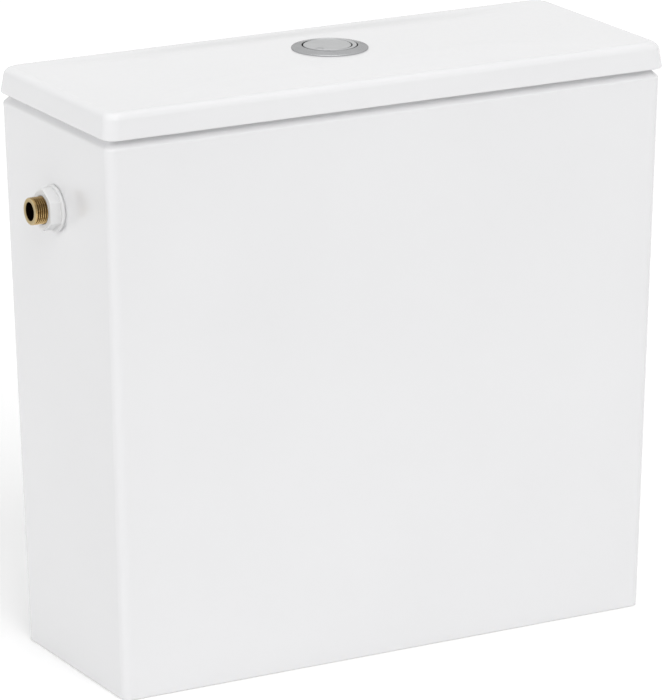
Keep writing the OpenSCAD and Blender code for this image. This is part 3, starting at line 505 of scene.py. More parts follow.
@dataclass
class MeshDraft:
    """Points and faces of one piece, gathered in millimetres."""

    points: list[Point] = field(default_factory=list)
    faces: list[tuple[int, ...]] = field(default_factory=list)

    WELD_DISTANCE = 1e-7

    def ring(self, points: list[Point]) -> Ring:
        """Adds a ring of points.

        Args:
            points: The points.

        Returns:
            Their numbers in the draft.
        """
        first = len(self.points)
        self.points.extend(points)
        return list(range(first, len(self.points)))

    def bridge(self, low: Ring, high: Ring) -> None:
        """Joins two rings of the same length with quads.

        Args:
            low: First ring.
            high: Second ring.
        """
        for i in range(len(low)):
            j = (i + 1) % len(low)
            self.faces.append((low[i], low[j], high[j], high[i]))

    def cap(self, ring: Ring) -> None:
        """Closes a ring with one flat face."""
        self.faces.append(tuple(ring))

    def stack(self, rings: list[Ring], loop: bool = False, caps: bool = False) -> None:
        """Joins a run of rings one after the other.

        Args:
            rings: Rings of the same length.
            loop: Whether the last ring joins the first.
            caps: Whether the first and last rings are closed with flat faces.
        """
        for low, high in zip(rings, rings[1:]):
            self.bridge(low, high)
        if loop:
            self.bridge(rings[-1], rings[0])
        if caps:
            self.cap(rings[0])
            self.cap(rings[-1])

    def build(self, name: str, crease_deg: float = CREASE_DEG) -> bpy.types.Object:
        """Makes the Blender object, smooth but for its creases.

        Args:
            name: Name of the piece.
            crease_deg: Edges sharper than this stay crisp.

        Returns:
            The object, in the scene.
        """
        mesh = bpy.data.meshes.new(name)
        mesh.from_pydata([Vector(p) * MM for p in self.points], [], self.faces)
        work = bmesh.new()
        work.from_mesh(mesh)
        bmesh.ops.remove_doubles(work, verts=work.verts, dist=self.WELD_DISTANCE)
        bmesh.ops.recalc_face_normals(work, faces=work.faces)
        work.to_mesh(mesh)
        work.free()
        crease(mesh, crease_deg)
        made = bpy.data.objects.new(name, mesh)
        bpy.context.scene.collection.objects.link(made)
        return made


@dataclass(frozen=True)
class Screw:
    """A right-hand screw thread.

    The crest and the root are radii. The flat is the share of the pitch that the crest takes, and the fade is
    the length over which the groove runs out at both ends.
    """

    crest: float
    root: float
    pitch: float
    flat: float
    fade: float

    ROWS_PER_PITCH = 12

    def row(self, along: float, ends: Pair, hand: int) -> Row:
        """Draws the thread's row at one place along the axis.

        Args:
            along: The place.
            ends: Where the thread starts and stops.
            hand: 1 on an axis that points up, -1 on one that points to the left.

        Returns:
            The row.
        """
        ease_out = min(1.0, *(abs(along - end) / self.fade for end in ends))

        def shape(angle: float) -> Pair:
            """Returns radius and place at one angle."""
            phase = (along / self.pitch - hand * angle / FULL_TURN) % 1.0
            depth = max(0.0, 1.0 - abs(2 * phase - 1.0) / (1.0 - self.flat))
            return self.crest - (self.crest - self.root) * depth * ease_out, along

        return shape


@dataclass
class Turning:
    """A piece that is turned about an axis, row by row, and may carry a screw thread."""

    centre: Point
    axis: Point
    steps: int = 96
    rows: list[Row] = field(default_factory=list)

    def row(self, radius: float, along: float) -> None:
        """Adds a plain round row."""
        self.rows.append(lambda angle: (radius, along))

    def path(self, profile: list[Pair]) -> None:
        """Adds plain rows, each with its radius and its place along the axis."""
        for radius, along in profile:
            self.row(radius, along)

    def fillet(
        self, radius: float, along: float, size: float, start_deg: float, stop_deg: float, steps: int
    ) -> None:
        """Adds rows round a curve.

        Args:
            radius: Radius of the curve's middle point.
            along: Place of the curve's middle point along the axis.
            size: Radius of the curve itself.
            start_deg: Start angle, 0 pointing away from the axis and 90 along it.
            stop_deg: Stop angle.
            steps: Number of spans.
        """
        for a in curve(start_deg, stop_deg, steps):
            self.row(radius + size * math.cos(a), along + size * math.sin(a))

    def thread(self, start: float, stop: float, screw: Screw) -> None:
        """Adds rows with a screw thread.

        Args:
            start: First place along the axis.
            stop: Last place along the axis.
            screw: The thread.
        """
        count = max(2, round(abs(stop - start) / screw.pitch * screw.ROWS_PER_PITCH))
        hand = 1 if sum(self.axis) > 0 else -1
        for i in range(count + 1):
            self.rows.append(screw.row(start + (stop - start) * i / count, (start, stop), hand))

    def place(self, radius: float, along: float, angle: float) -> Point:
        """Finds a point of the turning.

        Args:
            radius: Distance from the axis.
            along: Place along the axis.
            angle: Angle round the axis.

        Returns:
            The point.
        """
        ahead, side = Vector(self.axis), Vector((0, 1, 0))
        spot = Vector(self.centre) + ahead * along
        spot += side * radius * math.cos(angle) + ahead.cross(side) * radius * math.sin(angle)
        return spot.x, spot.y, spot.z

    def draw(self, draft: MeshDraft, loop: bool = False, caps: bool = False) -> None:
        """Draws the rows into a mesh.

        Args:
            draft: Mesh that takes the faces.
            loop: Whether the last row joins the first.
            caps: Whether the first and last rows are closed with flat faces.
        """
        angles = [FULL_TURN * i / self.steps for i in range(self.steps)]
        draft.stack([draft.ring([self.place(*row(a), a) for a in angles]) for row in self.rows], loop, caps)

    def piece(
        self, name: str, loop: bool = False, caps: bool = False, crease_deg: float = CREASE_DEG
    ) -> bpy.types.Object:
        """Makes a piece of this turning alone.

        Args:
            name: Name of the piece.
            loop: Whether the last row joins the first.
            caps: Whether the first and last rows are closed with flat faces.
            crease_deg: Edges sharper than this stay crisp.

        Returns:
            The piece.
        """
        draft = MeshDraft()
        self.draw(draft, loop, caps)
        return draft.build(name, crease_deg)


@dataclass(frozen=True)
class PlanRect:
    """A rectangle in plan with round corners."""

    x_low: float
    x_high: float
    y_low: float
    y_high: float
    corner: float

    ARC_STEPS = 10
    LONG_STEPS = 28
    SHORT_STEPS = 8

    @staticmethod
    def shares(length: float, distance: float, steps: int) -> list[float]:
        """Places points on a side so that they lie at even angles round the middle.

        Args:
            length: Length of the side.
            distance: Distance of the side from the middle.
            steps: Number of spans.

        Returns:
            Shares of the length between 0 and 1, without the ends.
        """
        reach = math.atan2(length / 2, distance)
        turns = [-reach + 2 * reach * i / steps for i in range(1, steps)]
        return [0.5 + distance * math.tan(t) / length for t in turns]

    def outline(self, z: float) -> list[Point]:
        """Lists the points of the outline, always the same number of them.

        Args:
            z: Height of the outline.

        Returns:
            The points, anticlockwise from the right end of the front.
        """
        r = self.corner
        x0, x1, y0, y1 = self.x_low + r, self.x_high - r, self.y_low + r, self.y_high - r
        corners = [(x1, y0, -90), (x1, y1, 0), (x0, y1, 90), (x0, y0, 180)]
        points: list[Point] = []
        for n, (cx, cy, start) in enumerate(corners):
            turns = curve(start, start + 90, self.ARC_STEPS)
            arc = [(cx + r * math.cos(a), cy + r * math.sin(a), z) for a in turns]
            nx, ny, _ = corners[(n + 1) % 4]
            begin, end = Vector(arc[-1]), Vector(arc[-1]) + Vector((nx - cx, ny - cy, 0))
            short = n % 2 == 0
            away = (self.x_high - self.x_low if short else self.y_high - self.y_low) / 2
            steps = self.SHORT_STEPS if short else self.LONG_STEPS
            side = [tuple(begin.lerp(end, t)) for t in self.shares((end - begin).length, away, steps)]
            points += arc + side
        return points

    def circle(self, radius: float, z: float) -> list[Point]:
        """Returns points of a circle round the origin that face the outline's points."""
        turns = [math.atan2(y, x) for x, y, _ in self.outline(0)]
        return [(radius * math.cos(t), radius * math.sin(t), z) for t in turns]


def drill(centre: Point, axis: Point, radius: float, length: float, steps: int = 48) -> bpy.types.Object:
    """Makes a round cutter.

    Args:
        centre: Start of the hole.
        axis: Direction of the hole.
        radius: Radius of the hole.
        length: Length of the cutter.
        steps: Number of its sides.

    Returns:
        The cutter.
    """
    turned = Turning(centre, axis, steps)
    turned.path([(radius, 0), (radius, length)])
    return turned.piece("cutter", caps=True)


def carve(piece: bpy.types.Object, cutters: list[bpy.types.Object]) -> None:
    """Cuts solid shapes out of a piece and removes the cutters.

    Args:
        piece: Piece that is cut.
        cutters: Closed shapes to take away.
    """
    for cutter in cutters:
        cut = piece.modifiers.new("cut", "BOOLEAN")
        cut.operation, cut.solver, cut.object = "DIFFERENCE", "EXACT", cutter
    graph = bpy.context.evaluated_depsgraph_get()
    mesh = bpy.data.meshes.new_from_object(piece.evaluated_get(graph))
    piece.modifiers.clear()
    piece.data = mesh
    crease(mesh, CREASE_DEG)
    for cutter in cutters:
        bpy.data.objects.remove(cutter)


def even_normals(piece: bpy.types.Object) -> None:
    """Lets the large flat faces of a piece set the shading beside its rounded edges."""
    piece.modifiers.new("even_normals", "WEIGHTED_NORMAL").keep_sharp = True


def settle(
    piece: bpy.types.Object,
    body: Body,
    slot: Slot,
    *nodes: str,
    finishes: tuple[Finish, ...] = (),
    even: bool = True,
) -> None:
    """Dresses a piece, sets it on its body and logs it.

    Args:
        piece: The new piece.
        body: Body that it rides on.
        slot: Material slot of the record that it belongs to.
        nodes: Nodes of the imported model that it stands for.
        finishes: Its finishes in order, where they aren't the slot's own.
        even: Whether its large flat faces set the shading beside its edges.
    """
    if even:
        even_normals(piece)
    for finish in finishes or (SLOT_FINISH[slot],):
        piece.data.materials.append(finish.build())
    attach(piece, body.value)
    if nodes:
        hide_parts(*nodes)
    log.info("made %s for %s", piece.name, ", ".join(nodes) or body.value)


# Ceramic


@dataclass
class Tank:
    """The ceramic tank: tapered walls, bevelled rim, filleted floor and the hollow under it."""

    width: float = 381.6
    depth: float = 144.1
    height: float = 347.6
    side_taper: float = 8.4
    front_taper: float = 2.4
    back_taper: float = 9.0
    outlet_back: float = 67.0
    corner_r: float = 6.0
    least_corner_r: float = 1.0
    rim_bevel: float = 5.6
    rim_low_r: float = 2.2
    rim_top_r: float = 2.0
    inner_rim_r: float = 2.0
    foot_r: float = 0.5
    unglazed_z: float = 0.05
    wall: float = 11.0
    cavity_r: float = 12.0
    floor_z: float = 45.0
    recess_z: float = 34.0
    recess_draft: float = 2.0
    floor_fillet: float = 6.0
    recess_fillet: float = 3.0
    outlet_r: float = 32.0
    glaze_edge: float = 1.2
    bolt_x: float = 80.0
    bolt_r: float = 6.0
    bolt_cut_below: float = 5.0
    bolt_cut: float = 25.0
    inlet_y: float = INLET_Y
    inlet_z: float = INLET_Z
    inlet_r: float = 9.5
    inlet_cut_x: float = -170.0
    inlet_cut: float = 30.0

    def plan(self, z: float, inset: float, corner: float) -> PlanRect:
        """Gives the tank's plan.

        Args:
            z: Height of the plan.
            inset: How far it is drawn in.
            corner: Radius of its corners.

        Returns:
            The plan.
        """
        low = 1 - z / self.height
        half = self.width / 2 - self.side_taper * low - inset
        front = self.outlet_back - self.depth + self.front_taper * low + inset
        back = self.outlet_back - self.back_taper * low - inset
        return PlanRect(-half, half, front, back, corner)

    def outer_corner(self, inset: float) -> float:
        """Returns the plan radius of an outer corner that is drawn in by an inset."""
        return max(self.corner_r - inset / 2, self.least_corner_r)

    def shoulder(self) -> list[Pair]:
        """Lists the rows of the bevelled shoulder, from the top outwards.

        Returns:
            Drop below the rim and inset of each row.
        """
        # A round that touches a 45-degree bevel starts this share of its radius away from the corner.
        reach = math.tan(math.radians(45) / 2)
        top, low = self.rim_top_r, self.rim_low_r
        top_in = self.rim_bevel + top * (reach - 1)
        low_drop = self.rim_bevel + low * (reach - 1)
        rows = [(off, top_in + up) for up, off in bend(top, 0, 45, 4)]
        return rows + [(low_drop + up, off) for up, off in bend(low, 45, 0, 5)]

    def wall_rows(self) -> list[Point]:
        """Lists the rows from the floor over the rim and down to the hollow under the floor.

        Returns:
            Height, inset and corner radius of each row.
        """
        top, wall, cavity = self.height, self.wall, self.cavity_r
        hollow = wall + self.recess_draft
        rows = [(self.floor_z + up, wall + off, cavity) for up, off in bend(self.floor_fillet, 90, 0, 6)]
        rows += [(top - up, wall - off, cavity) for up, off in bend(self.inner_rim_r, 0, 90, 5)]
        rows += [(top - drop, inset, self.outer_corner(inset)) for drop, inset in self.shoulder()]
        rows += [(up, off, self.corner_r) for up, off in bend(self.foot_r, 0, 90, 4)]
        rows += [(up, wall - off, cavity) for up, off in bend(self.foot_r, 90, 0, 3)]
        rows += [(self.recess_z - up, hollow + off, cavity) for up, off in bend(self.recess_fillet, 0, 90, 4)]
        return rows

    def outlet_rows(self) -> list[Pair]:
        """Lists the rows of the outlet hole's wall, from below the floor to its top.

        Returns:
            Radius and height of each row.
        """
        r, edge = self.outlet_r, self.glaze_edge
        rows = [(r + off, self.recess_z + up) for up, off in bend(edge, 90, 0, 3)]
        return rows + [(r + off, self.floor_z - up) for up, off in bend(edge, 0, 90, 3)]

    def build(self) -> None:
        """Makes the tank."""
        draft = MeshDraft()
        key = self.plan(self.floor_z, self.wall, self.cavity_r)
        rings = [draft.ring(key.circle(r, z)) for r, z in self.outlet_rows()]
        rings += [draft.ring(self.plan(z, inset, corner).outline(z)) for z, inset, corner in self.wall_rows()]
        draft.stack(rings, loop=True)
        tank = draft.build("tank_casting")
        bolts = [(x, 0, self.recess_z - self.bolt_cut_below) for x in (-self.bolt_x, self.bolt_x)]
        cutters = [drill(at, UPWARDS, self.bolt_r, self.bolt_cut) for at in bolts]
        inlet = (self.inlet_cut_x, self.inlet_y, self.inlet_z)
        cutters.append(drill(inlet, (-1, 0, 0), self.inlet_r, self.inlet_cut))
        carve(tank, cutters)
        for face in tank.data.polygons:
            if face.center.z < self.unglazed_z * MM:
                face.material_index = 1
        settle(tank, Body.TANK, Slot.CERAMIC, "tank", finishes=(CHINA, BISCUIT))


@dataclass
class Lid:
    """The ceramic lid: drafted sides, rounded top edge, gentle crown and the rib that locates it."""

    tank: Tank
    side: float = 1.7
    front: float = 2.7
    back: float = 1.1
    base_z: float = 347.9
    edge_h: float = 16.2
    draft_deg: float = 7.0
    corner_r: float = 8.0
    edge_r: float = 4.5
    lip_r: float = 0.8
    crown: float = 2.3
    crown_r: float = 32.0
    crown_rows: int = 10
    hole_r: float = 19.4
    hole_low_edge: float = 0.6
    hole_top_edge: float = 0.8
    hole_top_turn: float = 0.25
    ceiling_z: float = 357.4
    rib_inset: float = 13.5
    rib_h: float = 6.0
    rib_t: float = 5.0
    rib_round: float = 1.4
    hollow_fillet: float = 3.0

    @property
    def top(self) -> float:
        """Height of the lid's level top."""
        return self.base_z + self.edge_h + self.crown

    def plan(self, inset: float) -> PlanRect:
        """Gives the lid's plan.

        Args:
            inset: How far it is drawn in.

        Returns:
            The plan.
        """
        t = self.tank
        half = t.width / 2 + self.side - inset
        front = t.outlet_back - t.depth - self.front + inset
        return PlanRect(-half, half, front, t.outlet_back + self.back - inset, self.corner_r)

    def swell(self, x: float, y: float, rim: PlanRect) -> float:
        """Gives the share of the crown's height at a point of the lid's top.

        Args:
            x: Place across the lid.
            y: Place from front to back.
            rim: Outline at which the crown has run out.

        Returns:
            1 on the level spot, easing to 0 at the outline.
        """
        share = 1.0
        for away, far in ((abs(x), rim.x_high), (abs(y), rim.y_high if y > 0 else -rim.y_low)):
            share *= 1 - smooth((away - self.crown_r) / (far - self.crown_r))
        return share

    def edge_rows(self) -> list[Pair]:
        """Lists the rows down the lid's edge.

        Returns:
            Height and inset of each row.
        """
        lean = math.tan(math.radians(self.draft_deg))
        rises = [(self.edge_h - up, off) for up, off in bend(self.edge_r, 90, 0, 9)]
        rows = [(self.base_z + rise, rise * lean + off) for rise, off in rises]
        return rows + [(self.base_z + up, off) for up, off in bend(self.lip_r, 0, 90, 3)]

    def rib_rows(self) -> list[Pair]:
        """Lists the rows round the rib and up to the ceiling.

        Returns:
            Height and inset of each row.
        """
        r, base, low, outer = self.rib_round, self.base_z, self.base_z - self.rib_h, self.rib_inset
        inner = outer + self.rib_t
        rows = [(base, outer - r)]
        rows += [(base - off, outer - up) for up, off in bend(r, 30, 90, 3)]
        rows += [(low + up, outer + off) for up, off in bend(r, 0, 90, 3)]
        rows += [(low + up, inner - off) for up, off in bend(r, 90, 0, 3)]
        return rows + [(self.ceiling_z - up, inner + off) for up, off in bend(self.hollow_fillet, 0, 90, 4)]

    def hole_rows(self) -> list[Pair]:
        """Lists the rows of the button hole's wall, from the ceiling to the top.

        Returns:
            Radius and height of each row.
        """
        r, low, top = self.hole_r, self.ceiling_z, self.top
        rows = [(r + self.hole_low_edge, low), (r, low + self.hole_low_edge), (r, top - self.hole_top_edge)]
        return rows + [(r + self.hole_top_turn, top - self.hole_top_turn), (r + self.hole_top_edge, top)]

    def build(self) -> None:
        """Makes the lid."""
        draft, tank, edge = MeshDraft(), self.tank, self.edge_rows()
        key, edge_top = self.plan(edge[0][1]), edge[0][0]
        rings = [draft.ring(key.circle(r, z)) for r, z in self.hole_rows()]
        rim = [Vector(p) for p in key.outline(edge_top)]
        spot = [Vector(p) for p in key.circle(self.crown_r, edge_top)]
        for i in range(self.crown_rows):
            row = [a.lerp(b, i / self.crown_rows) for a, b in zip(spot, rim)]
            rings.append(draft.ring([(p.x, p.y, p.z + self.crown * self.swell(p.x, p.y, key)) for p in row]))
        rings += [draft.ring(self.plan(inset).outline(z)) for z, inset in edge]
        for z, inset in self.rib_rows():
            rings.append(draft.ring(tank.plan(tank.height, inset, tank.cavity_r).outline(z)))
        rings.append(draft.ring(key.circle(self.crown_r, self.ceiling_z)))
        draft.stack(rings, loop=True)
        settle(draft.build("lid_casting"), Body.LID, Slot.CERAMIC, "lid")


# Flush button


@dataclass
class FlushButton:
    """The chromed bezel with its threaded sleeve, and the two buttons inside it."""

    lid_top: float
    bezel_r: float = 23.6
    bezel_rim: float = 0.8
    bezel_top: float = 368.5
    bezel_gap: float = 0.03
    bezel_foot: float = 0.12
    bezel_sides: int = 128
    cone_deg: float = 78.0
    cone_swell: float = 0.08
    edge_r: float = 0.6
    opening_r: float = 17.15
    opening_edge: float = 0.3
    sleeve: Screw = Screw(crest=19.0, root=18.2, pitch=2.0, flat=0.25, fade=2.0)
    sleeve_plain: float = 12.0
    sleeve_lead: float = 0.5
    sleeve_run_out: float = 1.0
    sleeve_edge: float = 0.8
    sleeve_z: float = 329.4
    guide_t: float = 3.0
    rod_x: float = 8.0
    rod_hole_r: float = 2.8
    rod_hole_slack: float = 1.0
    button_top: float = 368.7
    skirt_z: float = 360.2
    full_r: float = 14.75
    full_x: float = -1.8
    cap_wall: float = 1.6
    cap_edge: float = 0.45
    cap_sides: int = 112
    middle_r: float = 0.02
    gap: float = 0.6
    tip_x: float = -8.0
    slim_edge: float = 0.35
    stem_r: float = 4.2
    stem_bore: float = 2.6
    stem_bore_h: float = 4.0
    stem_edge: float = 0.4
    stem_bite: float = 1.0
    stem_z: float = 346.4
    stem_sides: int = 32
    foot_t: float = 6.0
    foot_w: float = 8.0
    foot_lap: float = 0.5
    dish: float = 0.12
    dish_step: float = 0.45
    dimple_x: float = -10.8
    dimple_y: float = -7.1
    dimple_r: float = 2.7
    dimple_wall: float = 0.7
    dimple_depth: float = 0.35
    dimple_reach: float = 0.4

    CONE_SHARES = (0.25, 0.5, 0.75)
    CRESCENT_STEPS = 72

    def bezel(self) -> None:
        """Makes the bezel with its sleeve."""
        e, top, low = self.opening_edge, self.bezel_top, self.lid_top + self.bezel_gap
        rim, foot, screw = self.lid_top + self.bezel_rim, self.bezel_foot, self.sleeve
        inner, outer = self.opening_r + e, self.bezel_r - self.edge_r
        turned = Turning((0, 0, 0), UPWARDS, self.bezel_sides)
        turned.row(self.opening_r, self.sleeve_z + self.guide_t)
        turned.fillet(inner, top - e, e, 180, 90, 4)
        for share in self.CONE_SHARES:
            bulge = self.cone_swell * 4 * share * (1 - share)
            turned.row(inner + (outer - inner) * share, top + (rim - top) * share + bulge)
        turned.fillet(outer, rim - self.edge_r, self.edge_r, self.cone_deg, 0, 6)
        turned.path([(self.bezel_r, low + foot), (self.bezel_r - foot, low)])
        start, stop = self.lid_top - self.sleeve_plain, self.sleeve_z + 2 * self.sleeve_run_out
        turned.path([(screw.crest, low), (screw.crest, start + self.sleeve_lead)])
        turned.thread(start, stop, screw)
        turned.row(screw.crest, stop - self.sleeve_run_out)
        turned.row(screw.crest - self.sleeve_edge, self.sleeve_z)
        piece = turned.piece("button_bezel_ring", caps=True)
        hole_z, length = self.sleeve_z - self.rod_hole_slack, self.guide_t + 2 * self.rod_hole_slack
        holes = [(x, 0, hole_z) for x in (-self.rod_x, self.rod_x)]
        carve(piece, [drill(at, UPWARDS, self.rod_hole_r, length, self.stem_sides) for at in holes])
        settle(piece, Body.LID, Slot.CHROME, "button_bezel")

    def stem(self, draft: MeshDraft, x: float, z_high: float) -> None:
        """Draws a button's stem down to its rod.

        Args:
            draft: Mesh that takes the faces.
            x: Place of the stem.
            z_high: Top of the stem.
        """
        low, r, e, bore = self.stem_z, self.stem_r, self.stem_edge, self.stem_bore
        turned = Turning((x, 0, 0), UPWARDS, self.stem_sides)
        turned.path([(bore, low + self.stem_bore_h), (bore, low), (r - e, low), (r, low + e), (r, z_high)])
        turned.draw(draft, caps=True)

    def dimpled(self, point: Point) -> Point:
        """Sinks a point of the full-flush cap that lies in its finger dimple.

        Args:
            point: The point.

        Returns:
            The sunk point.
        """
        x, y, z = point
        inside = self.dimple_r - math.hypot(x - self.dimple_x, y - self.dimple_y)
        share = smooth(inside / self.dimple_wall) if z > self.button_top - self.dimple_reach else 0.0
        return x, y, z - self.dimple_depth * share

    def full_button(self) -> None:
        """Makes the round full-flush button with its finger dimple."""
        top, e, rim = self.button_top, self.cap_edge, self.full_r - self.cap_edge
        wall, ceiling = self.full_r - self.cap_wall, top - self.cap_wall
        turned = Turning((self.full_x, 0, 0), UPWARDS, self.cap_sides)
        turned.path([(self.middle_r, ceiling), (wall, ceiling), (wall, self.skirt_z)])
        turned.row(self.full_r, self.skirt_z)
        turned.fillet(rim, top - e, e, 0, 90, 5)
        for i in range(1, int(rim / self.dish_step)):
            r = rim - i * self.dish_step
            turned.row(r, top - self.dish * (1 - (r / rim) ** 2))
        turned.row(self.middle_r, top - self.dish)
        draft = MeshDraft()
        turned.draw(draft, caps=True)
        draft.points = [self.dimpled(point) for point in draft.points]
        self.stem(draft, -self.rod_x, top - self.stem_bite)
        piece = draft.build("full_flush_cap")
        settle(piece, Body.FULL_BUTTON, Slot.CHROME, "full_flush_button", finishes=(BRIGHT_CHROME,))

    def crescent_rows(self, half_width: float | None = None) -> list[tuple[Vector, Vector]]:
        """Lists inner and outer points along the crescent.

        Args:
            half_width: Keeps only the part this near to the middle, if given.

        Returns:
            Pairs of points in plan, from one tip to the other.
        """
        outer_r, inner_r = self.opening_r - self.gap, self.full_r + self.gap
        if half_width is None:
            inner_end = math.acos((self.tip_x - self.full_x) / inner_r)
            outer_end = math.acos(self.tip_x / outer_r)
        else:
            inner_end, outer_end = math.asin(half_width / inner_r), math.asin(half_width / outer_r)
        rows = []
        for i in range(self.CRESCENT_STEPS + 1):
            share = 2 * i / self.CRESCENT_STEPS - 1
            a, b = inner_end * share, outer_end * share
            inner = Vector((self.full_x + inner_r * math.cos(a), inner_r * math.sin(a)))
            rows.append((inner, Vector((outer_r * math.cos(b), outer_r * math.sin(b)))))
        return rows

    def sweep(self, draft: MeshDraft, rows: list[tuple[Vector, Vector]], low: float, high: float) -> None:
        """Draws an upright curved bar with rounded top edges.

        Args:
            draft: Mesh that takes the faces.
            rows: Inner and outer points along the bar.
            low: Lower height.
            high: Upper height.
        """
        rings = []
        for inner, outer in rows:
            across = outer - inner
            size, ahead = min(self.cap_edge, across.length * self.slim_edge), across.normalized()
            points = [(inner.x, inner.y, low), (outer.x, outer.y, low)]
            for up, off in bend(size, 0, 90, 4):
                points.append((*(outer - ahead * off), high - up))
            for up, off in bend(size, 90, 0, 4):
                points.append((*(inner + ahead * off), high - up))
            rings.append(draft.ring(points))
        draft.stack(rings, caps=True)

    def half_button(self) -> None:
        """Makes the crescent-shaped half-flush button."""
        draft, half, low, high = MeshDraft(), self.foot_w / 2, self.stem_z, self.stem_z + self.foot_t
        self.sweep(draft, self.crescent_rows(), self.skirt_z, self.button_top)
        self.sweep(draft, self.crescent_rows(half), low, self.skirt_z + self.foot_lap)
        self.stem(draft, self.rod_x, high)
        bar = []
        for x in (self.rod_x, self.full_x + self.full_r + self.cap_wall):
            bar.append(draft.ring([(x, -half, low), (x, half, low), (x, half, high), (x, -half, high)]))
        draft.stack(bar, caps=True)
        piece = draft.build("half_flush_cap")
        settle(piece, Body.HALF_BUTTON, Slot.CHROME, "half_flush_button", finishes=(BRIGHT_CHROME,))

    def build(self) -> None:
        """Makes the bezel and both buttons."""
        for make in (self.bezel, self.full_button, self.half_button):
            make()


@dataclass
class ReturnSpring:
    """One compression spring of round wire with closed ends."""

    x: float
    node: str
    joint: str
    coil_r: float = 3.6
    wire_r: float = 0.4
    low: float = 332.5
    high: float = 346.1
    turns: float = 6.0
    closed_turns: float = 0.8
    closed_lead: float = 1.02
    steps_per_turn: int = 28
    sides: int = 10
    crease_deg: float = 60.0
    fixed_z: float = 332.4
    seat_gap: float = 0.3
    travel: float = 7.0

    def height(self, share: float) -> float:
        """Gives the height of the wire's middle, with flat closed ends.

        Args:
            share: Share of the wire's length.

        Returns:
            The height.
        """
        turn, dead = share * self.turns, self.closed_turns
        live, step = self.turns - 2 * dead, 2 * self.wire_r * self.closed_lead
        low, high = self.low + self.wire_r, self.high - self.wire_r
        if turn < dead:
            return low + step * turn
        if turn > self.turns - dead:
            return high - step * (self.turns - turn)
        return low + step * dead + (high - low - 2 * step * dead) * (turn - dead) / live

    def build(self) -> None:
        """Makes the spring, which rides on the lid."""
        draft, rings = MeshDraft(), []
        count = round(self.turns * self.steps_per_turn)
        for i in range(count + 1):
            a, z = FULL_TURN * i / self.steps_per_turn, self.height(i / count)
            points = []
            for j in range(self.sides):
                b = FULL_TURN * j / self.sides
                r = self.coil_r + self.wire_r * math.cos(b)
                points.append((self.x + r * math.cos(a), r * math.sin(a), z + self.wire_r * math.sin(b)))
            rings.append(draft.ring(points))
        draft.stack(rings, caps=True)
        piece = draft.build(self.node + "_wire", self.crease_deg)
        settle(piece, Body.LID, Slot.STEEL, self.node, even=False)
        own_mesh(piece)


# Water inlet


